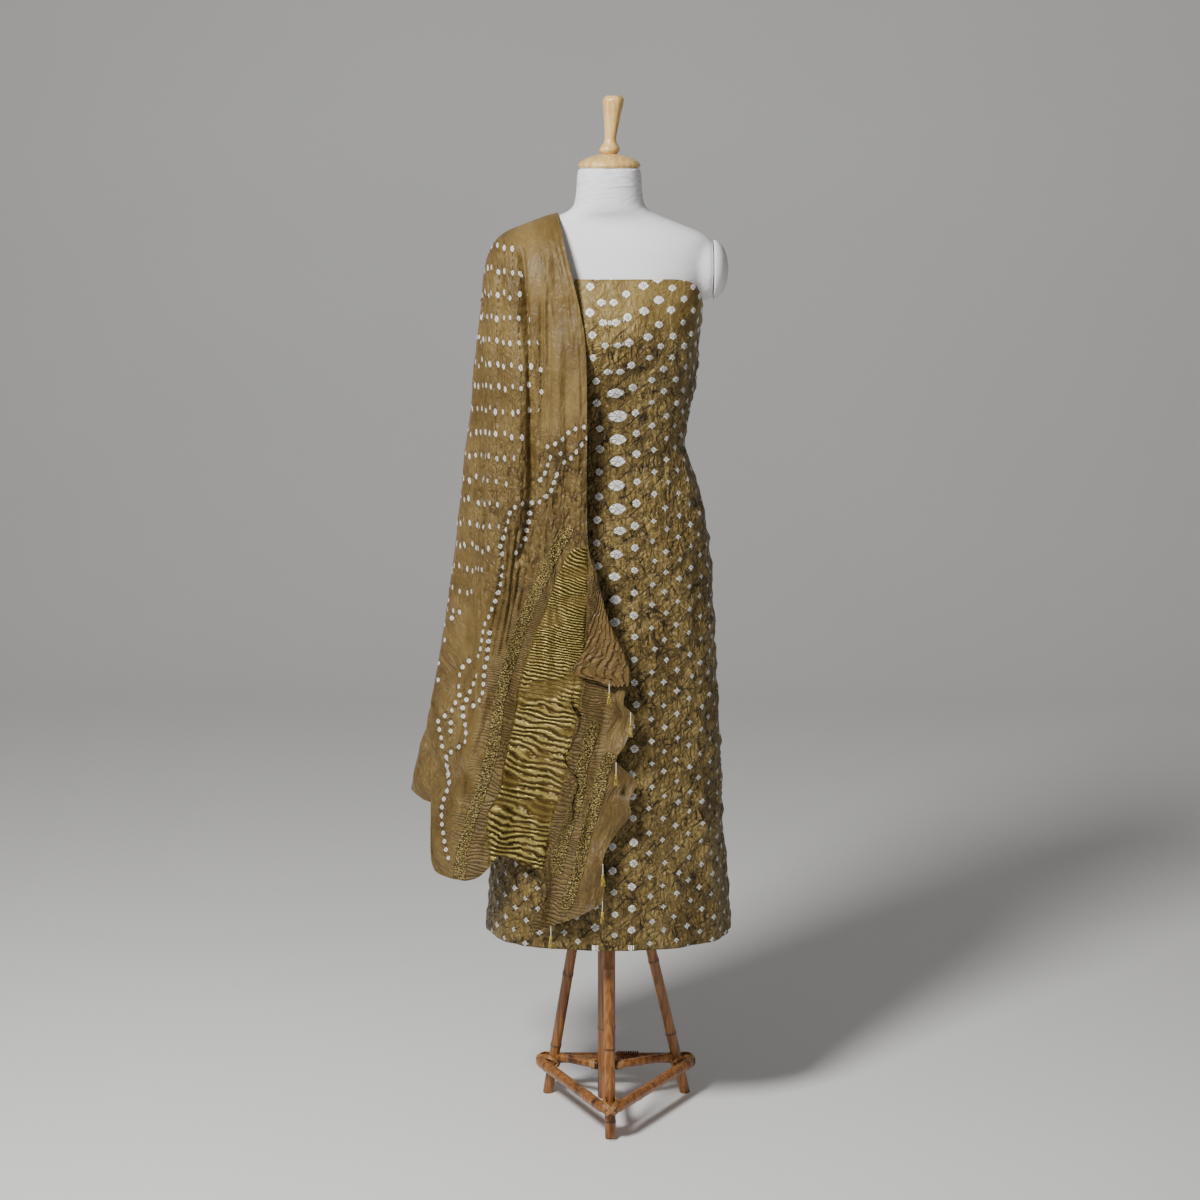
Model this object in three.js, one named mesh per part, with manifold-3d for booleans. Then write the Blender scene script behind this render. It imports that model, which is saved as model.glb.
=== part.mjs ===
// Two tie-dyed cloths on a dress form: a cloth wrapped round the form from bust to calf, and a
// shawl over one shoulder, with the cloth-covered form, its turned wooden top and its cane stand.
// Millimetres, +Z up. The front faces -Y and the feet stand at Z = 0.
import * as THREE from "three";
import { mergeVertices } from "three/addons/utils/BufferGeometryUtils.js";
import Module from "manifold-3d";

const wasm = await Module();
wasm.setup();

const { clamp, lerp, smoothstep } = THREE.MathUtils;
const FULL_TURN = 2 * Math.PI;
const QUARTER_TURN = Math.PI / 2;

// Gap between pieces that touch
const GAP = 0.3;

// Form: rounded sections from the flat underside to the top of the neck
const FORM_SIDES = 28;
const FORM_SQUARENESS = 2.3;
const FORM = [
  { height: 800, halfWidth: 162, front: 96, back: 112 },
  { height: 870, halfWidth: 169, front: 101, back: 119 },
  { height: 940, halfWidth: 172, front: 102, back: 122 },
  { height: 1005, halfWidth: 168, front: 101, back: 119 },
  { height: 1060, halfWidth: 161, front: 98, back: 111 },
  { height: 1110, halfWidth: 150.4, front: 94, back: 101 },
  { height: 1150, halfWidth: 135.4, front: 88, back: 92 },
  { height: 1190, halfWidth: 126.4, front: 84, back: 86 },
  { height: 1245, halfWidth: 132, front: 90, back: 86 },
  { height: 1307, halfWidth: 143, front: 108, back: 90 },
  { height: 1365, halfWidth: 148, front: 122, back: 94 },
  { height: 1400, halfWidth: 151, front: 118, back: 96 },
  { height: 1445, halfWidth: 157, front: 102, back: 97 },
  { height: 1480, halfWidth: 167, front: 88, back: 94 },
  { height: 1512, halfWidth: 172, front: 75, back: 86 },
  { height: 1534, halfWidth: 170, front: 62, back: 70 },
  { height: 1547, halfWidth: 150, front: 52, back: 56 },
  { height: 1559, halfWidth: 120, front: 46, back: 50 },
  { height: 1571, halfWidth: 90, front: 48, back: 51 },
  { height: 1582, halfWidth: 66, front: 56, back: 57 },
  { height: 1594, halfWidth: 58, front: 57, back: 58 },
  { height: 1651, halfWidth: 53, front: 53, back: 53 },
];

// Shoulder seams and the closed arm stubs beyond them
const SEAM_REACH = 174.7;
const ARM_HEIGHT = 1483;
const ARM_HALF_HEIGHT = 50;
const ARM_HALF_DEPTH = 46;
const STUB_LENGTH = 26;
const STUB_STEPS = 5;
const ARM_SIDES = 20;

// Wrapped cloth: outer face of its sections from hem to top edge
const WRAP_CLOTH = 2;
const WRAP_COLUMNS = 50;
const WRAP_ROW_BANDS = [
  { upTo: 0.4, steps: 4 },
  { upTo: 0.8, steps: 7 },
  { upTo: 1, steps: 6 },
];
const WRAP = [
  { height: 335, halfWidth: 213, front: 150, back: 160 },
  { height: 450, halfWidth: 205, front: 143, back: 154 },
  { height: 562, halfWidth: 198, front: 134, back: 148 },
  { height: 651, halfWidth: 194, front: 127, back: 142 },
  { height: 740, halfWidth: 189, front: 120, back: 137 },
  { height: 829, halfWidth: 184, front: 115, back: 133 },
  { height: 900, halfWidth: 181, front: 111, back: 131 },
  { height: 970, halfWidth: 177, front: 110, back: 129 },
  { height: 1039, halfWidth: 170, front: 108, back: 123 },
  { height: 1108, halfWidth: 156, front: 102, back: 109 },
  { height: 1150, halfWidth: 141, front: 96, back: 100 },
  { height: 1190, halfWidth: 131, front: 92, back: 94 },
  { height: 1245, halfWidth: 138, front: 97, back: 93 },
  { height: 1307, halfWidth: 149.5, front: 116, back: 97 },
  { height: 1365, halfWidth: 154, front: 131, back: 101 },
  { height: 1400, halfWidth: 157, front: 126, back: 103 },
  { height: 1445, halfWidth: 163, front: 110, back: 104 },
  { height: 1472, halfWidth: 172, front: 99, back: 102 },
];
const HEM_HEIGHT = 335;
const TOP_EDGE_HEIGHT = 1471;
// The top edge dips under the arms
const UNDERARM_DIP = 47;
const UNDERARM_SHARPNESS = 8;
// At the back the outer end laps over the inner end
const LAP_ANGLE = 0.32;
const LAP_RISE = 5.5;
// Shares of the way round, before the lap starts, over which its end lifts
const LAP_LIFT = { from: 0.035, to: 0.005 };
// Soft upright waves of the skirt: how many round it, where round it they start, how far out
const SKIRT_WAVES = [
  { count: 7, start: 0.4, reach: 2.2 },
  { count: 12, start: 1.9, reach: 1.4 },
];
const WAVES_FADE_OUT_HEIGHT = 900;

// Shawl: outer face of its sections, open on the side of the bare shoulder
const SHAWL_CLOTH = 2.2;
const SHAWL = [
  { height: 370, left: 362, front: 166, back: 172, squareness: 1.9 },
  { height: 450, left: 358, front: 164, back: 170, squareness: 1.9 },
  { height: 590, left: 345, front: 156, back: 164, squareness: 1.9 },
  { height: 690, left: 321, front: 150, back: 157, squareness: 1.92 },
  { height: 776, left: 301, front: 147, back: 152, squareness: 1.95 },
  { height: 873, left: 286, front: 145, back: 148, squareness: 2 },
  { height: 987, left: 269, front: 143, back: 145, squareness: 2.05 },
  { height: 1119, left: 253, front: 141, back: 138, squareness: 2.1 },
  { height: 1245, left: 237, front: 139, back: 128, squareness: 2.2 },
  { height: 1347, left: 226, front: 137, back: 120, squareness: 2.3 },
  { height: 1430, left: 217, front: 124, back: 117, squareness: 2.4 },
];
// The front free edge: the selvedge down to the turned-back corner, the ruffled end below it
const SHAWL_FRONT_EDGE = [
  { height: 370, reach: -66 },
  { height: 399, reach: -39 },
  { height: 420, reach: -16 },
  { height: 453, reach: -7 },
  { height: 502, reach: -10 },
  { height: 530, reach: 2 },
  { height: 577, reach: 35 },
  { height: 603, reach: 33 },
  { height: 633, reach: 45 },
  { height: 669, reach: 11 },
  { height: 700, reach: 26 },
  { height: 742, reach: 43 },
  { height: 764, reach: 24 },
  { height: 790, reach: 26 },
  { height: 817, reach: 31 },
  { height: 851, reach: 21 },
  { height: 910, reach: -6 },
  { height: 986, reach: -25 },
  { height: 1040, reach: -36 },
  { height: 1274, reach: -37 },
  { height: 1373, reach: -40 },
  { height: 1430, reach: -50 },
];
const SHAWL_BACK_EDGE = [
  { height: 370, reach: -44 },
  { height: 900, reach: -50 },
  { height: 1430, reach: -62 },
];
// The line over the shoulder, from beside the neck to the outer fold at armpit height
const SHOULDER_LINE_Y = 4;
const SHOULDER_LINE = [
  { along: 0, reach: -87, height: 1579.5 },
  { along: 0.15, reach: -116, height: 1570.5 },
  { along: 0.33, reach: -150, height: 1557.5 },
  { along: 0.45, reach: -172, height: 1548.5 },
  { along: 0.57, reach: -190, height: 1534.5 },
  { along: 0.7, reach: -205, height: 1509.5 },
  { along: 0.84, reach: -213, height: 1475 },
  { along: 1, reach: -217, height: 1430 },
];
const ARMPIT_HEIGHT = 1430;
const SHOULDER_ARCH_RISE = 2.3;
const SHOULDER_ARCH_ROUNDNESS = 0.52;
// The lower edge, by its reach from the middle
const SHAWL_EDGE_REFERENCE_HEIGHT = 500;
const SHAWL_FRONT_HEM = [
  { reach: -360, height: 585 },
  { reach: -330, height: 576 },
  { reach: -304, height: 566 },
  { reach: -290, height: 548 },
  { reach: -277, height: 496 },
  { reach: -258, height: 458 },
  { reach: -223, height: 459 },
  { reach: -200, height: 480 },
  { reach: -185, height: 500 },
  { reach: -150, height: 486 },
  { reach: -122, height: 480 },
  { reach: -106, height: 440 },
  { reach: -98, height: 388 },
  { reach: -62, height: 379 },
  { reach: -38, height: 396 },
  { reach: -14, height: 424 },
];
const SHAWL_BACK_HEM = [
  { reach: -360, height: 585 },
  { reach: -290, height: 560 },
  { reach: -160, height: 490 },
  { reach: -40, height: 430 },
];
// Rows run up the shawl and columns across it, closer where it folds
const SHAWL_ROW_BANDS = [
  { upTo: 0.39, steps: 17 },
  { upTo: 0.86, steps: 9 },
  { upTo: 0.965, steps: 4 },
  { upTo: 1, steps: 3 },
];
const SHAWL_FRONT_COLUMN_BANDS = [
  { upTo: 0.1, steps: 3 },
  { upTo: 0.54, steps: 10 },
  { upTo: 0.86, steps: 10 },
  { upTo: 1, steps: 4 },
];
const SHAWL_BACK_COLUMN_BANDS = [{ upTo: 1, steps: 13 }];
// Soft upright folds of the shawl: ridges stand out, troughs go in
const SHAWL_FRONT_FOLDS = [
  { topReach: -102, topHeight: 1440, lowReach: -150, lowHeight: 930, width: 17, rise: -9 },
  { topReach: -78, topHeight: 1400, lowReach: -110, lowHeight: 760, width: 14, rise: 5 },
  { topReach: -136, topHeight: 1390, lowReach: -182, lowHeight: 620, width: 20, rise: 7 },
  { topReach: -176, topHeight: 1330, lowReach: -228, lowHeight: 470, width: 20, rise: 6 },
  { topReach: -120, topHeight: 820, lowReach: -92, lowHeight: 390, width: 16, rise: -6 },
  { topReach: -60, topHeight: 1010, lowReach: -50, lowHeight: 380, width: 34, rise: 8 },
];
const SHAWL_BACK_FOLDS = [
  { topReach: -90, topHeight: 1440, lowReach: -110, lowHeight: 430, width: 22, rise: 8 },
  { topReach: -140, topHeight: 1400, lowReach: -200, lowHeight: 450, width: 26, rise: 10 },
  { topReach: -190, topHeight: 1300, lowReach: -280, lowHeight: 520, width: 24, rise: 9 },
];
const FOLD_FADE = 110;
// Folds keep their slant for a fifth of their length past their low end
const FOLD_OVERRUN = 1.2;
// Near the lower left the front layer folds back over the side
const SIDE_FOLD = {
  startHeight: 800,
  fullHeight: 650,
  reach: -288,
  halfWidth: 30,
  rise: 15,
  lap: 33,
  lapSpan: 1.6,
  easeWidth: 150,
};
const HALF_FRONT_LENGTH = 420;
// The ruffled end waves in and out
const RUFFLE = { fullHeight: 760, topHeight: 820, wave: 96, start: 0.6, rise: 7, width: 0.16 };
// The corner of the end is turned back over the front
const TURN_BACK = [
  { height: 798, width: 60 },
  { height: 817, width: 82 },
  { height: 835, width: 86 },
  { height: 861, width: 68 },
  { height: 912, width: 33 },
  { height: 960, width: 18 },
  { height: 1013, width: 5 },
];
const TURN_BACK_COLUMNS = 6;
const TURN_BACK_ROUND = 5;
const TURN_BACK_WAVES = 2.4;
const TURN_BACK_WAVE_RISE = 2.2;

// Tassels hang from the ruffled end, its lower edge and the turned-back corner
const TASSELS = [
  { on: "turned corner", across: 0.66, threadLength: 16 },
  { on: "end", height: 752, threadLength: 18 },
  { on: "end", height: 668, threadLength: 17 },
  { on: "end", height: 497, threadLength: 15 },
  { on: "end", height: 430, threadLength: 15 },
  { on: "lower edge", reach: -100, threadLength: 14 },
];
const THREAD_RADIUS = 0.7;
const THREAD_SIDES = 4;
const TASSEL_STAND_OFF = 9;
// How far the thread stands in front of the cloth, and how far parts of a tassel run into one another
const THREAD_CLEARANCE = 0.45;
const TASSEL_OVERLAP = 1;
const TASSEL_HEAD = { radius: 2.6, height: 6, sides: 6 };
const TASSEL_STRANDS = { count: 6, length: 17, radius: 0.85, root: 1.43, spread: 3.1, sides: 3 };

// Turned wooden top: neck cap and finial
const NECK_TOP = 1651;
const CAP_PROFILE = [
  { radius: 0, height: 0 },
  { radius: 49, height: 0 },
  { radius: 52, height: 2.5 },
  { radius: 52, height: 6 },
  { radius: 46, height: 12.5 },
  { radius: 32, height: 19 },
  { radius: 17, height: 23 },
  { radius: 0, height: 23 },
];
const CAP_SIDES = 24;
const FINIAL_LEAN = 0.075;
const FINIAL_SIDES = 16;
const FINIAL_PROFILE = [
  { radius: 12, height: 0 },
  { radius: 16.5, height: 5 },
  { radius: 16.5, height: 10 },
  { radius: 12, height: 17 },
  { radius: 9.8, height: 24 },
  { radius: 11, height: 38 },
  { radius: 14, height: 62 },
  { radius: 17.3, height: 82 },
  { radius: 17.3, height: 90 },
  { radius: 13, height: 95.5 },
];

// Cane stand
const POLE_REACH = -4;
const POLE_RADIUS = 16;
const POLE_FOOT_HEIGHT = 16;
const POLE_SIDES = 16;
const LEG_RADIUS = 9.8;
const LEG_TOP_HEIGHT = 535;
const LEG_TOP_OFFSET = 23;
const LEG_SIDES = 12;
const FEET = [
  { name: "front", x: 2.5, y: -163 },
  { name: "left", x: -110, y: 62 },
  { name: "right", x: 138.5, y: 62 },
];
const FOOT_PAD = { foot: "front", radius: 9, height: 3, sides: 16 };
const RING_HEIGHT = 60;
const RING_RADIUS = 10;
const RING_SIDES = 8;
const RING_CORNER_STEPS = 7;
const RING_CLEARANCE = 0.6;
const SPOKE_HEIGHT = 72;
const SPOKE_RADIUS = 7.5;
const SPOKE_SIDES = 10;
const SPOKE_CLEARANCE = 0.45;

// Finishes
const finish = (color, roughness) => new THREE.MeshStandardMaterial({ color, roughness, metalness: 0 });
const WRAP_FINISH = finish(0x8a7038, 0.75);
const SHAWL_FINISH = finish(0xa08858, 0.6);
const TASSEL_FINISH = finish(0xb09a48, 0.6);
const COVER_FINISH = finish(0xe8e6e6, 0.9);
const MAPLE_FINISH = finish(0xe0b870, 0.45);
const CANE_FINISH = finish(0x8a5a2a, 0.5);
const PAD_FINISH = finish(0xe6e4e0, 0.7);

// A smooth curve through one column of a table
function reading(rows, name, key = "height") {
  const slopes = rows.map((row, i) => {
    const before = rows[Math.max(i - 1, 0)];
    const after = rows[Math.min(i + 1, rows.length - 1)];
    return (after[name] - before[name]) / (after[key] - before[key]);
  });
  return (at) => {
    const place = clamp(at, rows[0][key], rows[rows.length - 1][key]);
    const i = Math.max(1, rows.findIndex((row) => row[key] >= place));
    const low = rows[i - 1];
    const high = rows[i];
    const span = high[key] - low[key];
    const t = (place - low[key]) / span;
    const rise = t * t * (3 - 2 * t);
    const lowPull = t * (1 - t) * (1 - t) * span * slopes[i - 1];
    const highPull = t * t * (1 - t) * span * slopes[i];
    return lerp(low[name], high[name], rise) + lowPull - highPull;
  };
}

// A power that keeps the sign of its base
const signedPower = (base, power) => Math.sign(base) * Math.abs(base) ** power;

// A point on a rounded outline, at an angle from the front that grows towards +X
function outlinePoint(angle, halfWidth, front, back, squareness) {
  const across = signedPower(Math.sin(angle), 2 / squareness);
  const ahead = signedPower(Math.cos(angle), 2 / squareness);
  return new THREE.Vector2(halfWidth * across, -(ahead > 0 ? front : back) * ahead);
}

// Where the steps of a list of bands fall between 0 and 1
function stations(bands) {
  const found = [0];
  for (const { upTo, steps } of bands) {
    const from = found[found.length - 1];
    for (let step = 1; step <= steps; step++) {
      found.push(lerp(from, upTo, step / steps));
    }
  }
  return found;
}

// Geometry from corner points taken three at a time, with shared corners merged
const WELD_DISTANCE = 0.002;
function weld(corners) {
  const geometry = new THREE.BufferGeometry().setFromPoints(corners);
  const welded = mergeVertices(geometry, WELD_DISTANCE);
  const index = [];
  for (let i = 0; i < welded.index.count; i += 3) {
    const [a, b, c] = [0, 1, 2].map((step) => welded.index.getX(i + step));
    if (a !== b && b !== c && c !== a) {
      index.push(a, b, c);
    }
  }
  welded.setIndex(index);
  return welded;
}

// Corners of the strip between two rows of points that run anticlockwise seen from above
function strip(lower, upper) {
  const corners = [];
  let low = 0;
  let high = 0;
  while (low < lower.length - 1 || high < upper.length - 1) {
    const nextLow = low < lower.length - 1 ? lower[low + 1].at : Infinity;
    const nextHigh = high < upper.length - 1 ? upper[high + 1].at : Infinity;
    if (nextLow <= nextHigh) {
      corners.push(lower[low].point, lower[low + 1].point, upper[high].point);
      low++;
    } else {
      corners.push(lower[low].point, upper[high + 1].point, upper[high].point);
      high++;
    }
  }
  return corners;
}

function strips(rows) {
  return rows.slice(1).flatMap((row, i) => strip(rows[i], row));
}

// A closed solid through rings of points, each anticlockwise seen from above, lowest first
function loft(rings) {
  const corners = [];
  const count = rings[0].length;
  rings.slice(1).forEach((upper, k) => {
    const lower = rings[k];
    for (let i = 0; i < count; i++) {
      const next = (i + 1) % count;
      corners.push(lower[i], lower[next], upper[next], lower[i], upper[next], upper[i]);
    }
  });
  const middle = (ring) => ring.reduce((sum, p) => sum.add(p), new THREE.Vector3()).divideScalar(count);
  const bottom = rings[0];
  const top = rings[rings.length - 1];
  for (let i = 0; i < count; i++) {
    const next = (i + 1) % count;
    corners.push(middle(bottom), bottom[next], bottom[i], middle(top), top[i], top[next]);
  }
  return weld(corners);
}

// A level ring of points round a centre
function levelRing(x, y, z, radius, sides) {
  return Array.from({ length: sides }, (_, i) => {
    const angle = (i / sides) * FULL_TURN;
    return new THREE.Vector3(x + radius * Math.cos(angle), y + radius * Math.sin(angle), z);
  });
}

// Gives an open sheet its thickness: its points are the outer face, the inner face lies behind
function thicken(corners, thickness) {
  const sheet = weld(corners);
  sheet.computeVertexNormals();
  const { position, normal } = sheet.attributes;
  const count = position.count;
  const points = [];
  const behind = [];
  for (let i = 0; i < count; i++) {
    const point = new THREE.Vector3().fromBufferAttribute(position, i);
    const inward = new THREE.Vector3().fromBufferAttribute(normal, i).multiplyScalar(-thickness);
    points.push(point);
    behind.push(point.clone().add(inward));
  }
  const faces = sheet.index.array;
  const edges = new Set();
  const index = [];
  for (let i = 0; i < faces.length; i += 3) {
    const [a, b, c] = [faces[i], faces[i + 1], faces[i + 2]];
    index.push(a, b, c, a + count, c + count, b + count);
    edges.add(`${a},${b}`).add(`${b},${c}`).add(`${c},${a}`);
  }
  for (const edge of edges) {
    const [a, b] = edge.split(",").map(Number);
    if (!edges.has(`${b},${a}`)) {
      index.push(b, a, a + count, b, a + count, b + count);
    }
  }
  const solid = new THREE.BufferGeometry().setFromPoints([...points, ...behind]);
  solid.setIndex(index);
  return solid;
}

// Between three.js geometry and the solids that join and cut
function toSolid(geometry) {
  const plain = new THREE.BufferGeometry();
  plain.setAttribute("position", geometry.attributes.position);
  plain.setIndex(geometry.index);
  const merged = mergeVertices(plain, WELD_DISTANCE);
  const vertProperties = new Float32Array(merged.attributes.position.array);
  const triVerts = new Uint32Array(merged.index.array);
  return new wasm.Manifold(new wasm.Mesh({ numProp: 3, vertProperties, triVerts }));
}

function toGeometry(solid) {
  const mesh = solid.getMesh();
  const geometry = new THREE.BufferGeometry();
  geometry.setAttribute("position", new THREE.Float32BufferAttribute(mesh.vertProperties, 3));
  geometry.setIndex(Array.from(mesh.triVerts));
  return geometry;
}

const part = new THREE.Group();

function addPiece(name, geometry, material) {
  const mesh = new THREE.Mesh(geometry, material);
  mesh.name = name;
  part.add(mesh);
  return mesh;
}

// The form
const formRing = ({ height, halfWidth, front, back }) =>
  Array.from({ length: FORM_SIDES }, (_, i) => {
    const angle = (i / FORM_SIDES) * FULL_TURN;
    const { x, y } = outlinePoint(angle, halfWidth, front, back, FORM_SQUARENESS);
    return new THREE.Vector3(x, y, height);
  });

// Rings of an arm, along +X from its root
const armRing = (reach, share) =>
  Array.from({ length: ARM_SIDES }, (_, i) => {
    const angle = (i / ARM_SIDES) * FULL_TURN;
    const y = ARM_HALF_DEPTH * share * Math.cos(angle);
    const z = ARM_HEIGHT + ARM_HALF_HEIGHT * share * Math.sin(angle);
    return new THREE.Vector3(reach, y, z);
  });

function formTorso() {
  const shoulders = loft([armRing(-SEAM_REACH, 1), armRing(SEAM_REACH, 1)]);
  return toGeometry(toSolid(loft(FORM.map(formRing))).add(toSolid(shoulders)));
}

// A dome beyond the shoulder seam, flat where it meets the seam
function armStub(side) {
  const rings = [];
  for (let step = 0; step < STUB_STEPS; step++) {
    const swing = (step / STUB_STEPS) * QUARTER_TURN;
    rings.push(armRing(SEAM_REACH + GAP + STUB_LENGTH * Math.sin(swing), Math.cos(swing)));
  }
  const stub = loft(rings);
  return side > 0 ? stub : stub.rotateZ(Math.PI);
}

// The wrapped cloth
const wrapHalfWidth = reading(WRAP, "halfWidth");
const wrapFront = reading(WRAP, "front");
const wrapBack = reading(WRAP, "back");

// How far out the skirt's soft waves stand at an angle
function skirtWave(angle) {
  let out = 0;
  for (const { count, start, reach } of SKIRT_WAVES) {
    out += (reach * (1 + Math.sin(count * angle + start))) / 2;
  }
  return out;
}

function wrapPoint(share, rise) {
  const angle = Math.PI + share * (FULL_TURN + LAP_ANGLE);
  const dip = UNDERARM_DIP * Math.abs(Math.sin(angle)) ** UNDERARM_SHARPNESS;
  const z = lerp(HEM_HEIGHT, TOP_EDGE_HEIGHT - dip, rise);
  const loose = 1 - smoothstep(z, HEM_HEIGHT, WAVES_FADE_OUT_HEIGHT);
  const lapStart = FULL_TURN / (FULL_TURN + LAP_ANGLE);
  const lap = LAP_RISE * smoothstep(share, lapStart - LAP_LIFT.from, lapStart - LAP_LIFT.to);
  const out = skirtWave(angle) * loose + lap;
  const { x, y } = outlinePoint(
    angle,
    wrapHalfWidth(z) + out,
    wrapFront(z) + out,
    wrapBack(z) + out,
    FORM_SQUARENESS
  );
  return new THREE.Vector3(x, y, z);
}

function wrapCloth() {
  const rows = stations(WRAP_ROW_BANDS).map((rise) =>
    Array.from({ length: WRAP_COLUMNS + 1 }, (_, column) => ({
      at: column,
      point: wrapPoint(column / WRAP_COLUMNS, rise),
    }))
  );
  return thicken(strips(rows), WRAP_CLOTH);
}

// The shawl
const shawl = {
  left: reading(SHAWL, "left"),
  front: reading(SHAWL, "front"),
  back: reading(SHAWL, "back"),
  squareness: reading(SHAWL, "squareness"),
  frontEdge: reading(SHAWL_FRONT_EDGE, "reach"),
  backEdge: reading(SHAWL_BACK_EDGE, "reach"),
  frontHem: reading(SHAWL_FRONT_HEM, "height", "reach"),
  backHem: reading(SHAWL_BACK_HEM, "height", "reach"),
  ridgeReach: reading(SHOULDER_LINE, "reach", "along"),
  ridgeHeight: reading(SHOULDER_LINE, "height", "along"),
  turnBack: reading(TURN_BACK, "width"),
};

// The plain section of the shawl. Share 0 is its free edge and share 1 its outer fold.
function shawlSection(share, z, isFront) {
  const left = shawl.left(z);
  const squareness = shawl.squareness(z);
  const edge = isFront ? shawl.frontEdge(z) : shawl.backEdge(z);
  const edgeAngle = Math.asin(signedPower(-edge / left, squareness / 2));
  const angle = lerp(edgeAngle, QUARTER_TURN, share);
  const depth = isFront ? -shawl.front(z) : shawl.back(z);
  const x = -left * signedPower(Math.sin(angle), 2 / squareness);
  return new THREE.Vector2(x, depth * Math.max(0, Math.cos(angle)) ** (2 / squareness));
}

// A share's outward and leftward directions in plan
const SHARE_STEP = 0.004;
function shawlDirections(share, z, isFront) {
  const before = shawlSection(Math.max(share - SHARE_STEP, 0), z, isFront);
  const after = shawlSection(Math.min(share + SHARE_STEP, 1), z, isFront);
  const along = after.sub(before).normalize();
  const out = new THREE.Vector2(along.y, -along.x);
  return { along, out: isFront ? out.negate() : out };
}

// How far the soft folds stand out at a place
function foldRise(folds, x, z) {
  let rise = 0;
  for (const fold of folds) {
    const down = (fold.topHeight - z) / (fold.topHeight - fold.lowHeight);
    const middle = lerp(fold.topReach, fold.lowReach, clamp(down, 0, FOLD_OVERRUN));
    const near = Math.exp(-(((x - middle) / fold.width) ** 2));
    const fade = 1 - smoothstep(z, fold.topHeight - FOLD_FADE, fold.topHeight);
    rise += fold.rise * near * fade;
  }
  return rise;
}

// The front layer's fold over the side: how far out it stands and how far left it laps
function sideFold(share, z) {
  const strength = 1 - smoothstep(z, SIDE_FOLD.fullHeight, SIDE_FOLD.startHeight);
  const left = shawl.left(z);
  const squareness = shawl.squareness(z);
  const foldAngle = Math.asin(Math.min(1, (-SIDE_FOLD.reach / left) ** (squareness / 2)));
  const edgeAngle = Math.asin(signedPower(-shawl.frontEdge(z) / left, squareness / 2));
  const foldShare = (foldAngle - edgeAngle) / (QUARTER_TURN - edgeAngle);
  const past = ((share - foldShare) * HALF_FRONT_LENGTH) / SIDE_FOLD.halfWidth;
  const ease = 1 - smoothstep(-past * SIDE_FOLD.halfWidth, SIDE_FOLD.halfWidth, SIDE_FOLD.easeWidth);
  const rise = SIDE_FOLD.rise * (1 - smoothstep(past, -1, 1)) * ease;
  const turn = clamp(past / SIDE_FOLD.lapSpan, -1, 1) * Math.PI;
  const lap = -SIDE_FOLD.lap * Math.sin(turn);
  return { rise: rise * strength, lap: lap * strength };
}

// The ruffled end's wave, strongest at its edge
function ruffleRise(share, z) {
  const strength = 1 - smoothstep(z, RUFFLE.fullHeight, RUFFLE.topHeight);
  const wave = 1 + Math.sin((z / RUFFLE.wave) * FULL_TURN + RUFFLE.start);
  return RUFFLE.rise * strength * wave * Math.max(0, 1 - share / RUFFLE.width) ** 2;
}

function shawlBelowArmpit(share, z, isFront) {
  const flat = shawlSection(share, z, isFront);
  const { along, out } = shawlDirections(share, z, isFront);
  const folds = foldRise(isFront ? SHAWL_FRONT_FOLDS : SHAWL_BACK_FOLDS, flat.x, z);
  const side = isFront ? sideFold(share, z) : { rise: 0, lap: 0 };
  const ruffle = isFront ? ruffleRise(share, z) : 0;
  flat.addScaledVector(out, folds + side.rise + ruffle);
  flat.addScaledVector(along, side.lap);
  return flat;
}

function shawlPoint(share, z, isFront) {
  if (z <= ARMPIT_HEIGHT) {
    const { x, y } = shawlBelowArmpit(share, z, isFront);
    return new THREE.Vector3(x, y, z);
  }
  const start = shawlBelowArmpit(share, ARMPIT_HEIGHT, isFront);
  const rise = clamp((z - ARMPIT_HEIGHT) / (shawl.ridgeHeight(share) - ARMPIT_HEIGHT), 0, 1);
  const drop = (1 - rise ** SHOULDER_ARCH_RISE) ** SHOULDER_ARCH_ROUNDNESS;
  const x = lerp(start.x, shawl.ridgeReach(share), rise);
  return new THREE.Vector3(x, lerp(SHOULDER_LINE_Y, start.y, drop), z);
}

// A point of the shawl from its lower edge, rise 0, to the shoulder line, rise 1
function shawlHeight(share, rise, isFront) {
  const reach = shawlSection(share, SHAWL_EDGE_REFERENCE_HEIGHT, isFront).x;
  const hem = isFront ? shawl.frontHem(reach) : shawl.backHem(reach);
  return lerp(hem, shawl.ridgeHeight(share), rise);
}

// The turned-back corner, from its fold at the front edge to its own free edge
function turnBackPoint(share, z) {
  const fold = shawlPoint(0, z, true);
  const width = shawl.turnBack(z) * share;
  const turn = clamp(width / (Math.PI * TURN_BACK_ROUND), 0, 1) * Math.PI;
  const beyond = Math.max(0, width - Math.PI * TURN_BACK_ROUND);
  const wave = TURN_BACK_WAVE_RISE * Math.sin(share * TURN_BACK_WAVES * Math.PI) * share;
  const x = fold.x + TURN_BACK_ROUND * Math.sin(turn) - beyond;
  const y = fold.y - TURN_BACK_ROUND * (1 - Math.cos(turn)) - wave;
  return new THREE.Vector3(x, y, z);
}

const shawlRises = stations(SHAWL_ROW_BANDS);
const frontShares = stations(SHAWL_FRONT_COLUMN_BANDS);
const backShares = stations(SHAWL_BACK_COLUMN_BANDS);
const turnShares = stations([{ upTo: 1, steps: TURN_BACK_COLUMNS }]);
const turnHeights = shawlRises
  .map((rise) => shawlHeight(0, rise, true))
  .filter((z) => z >= TURN_BACK[0].height && z <= TURN_BACK[TURN_BACK.length - 1].height);

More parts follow.
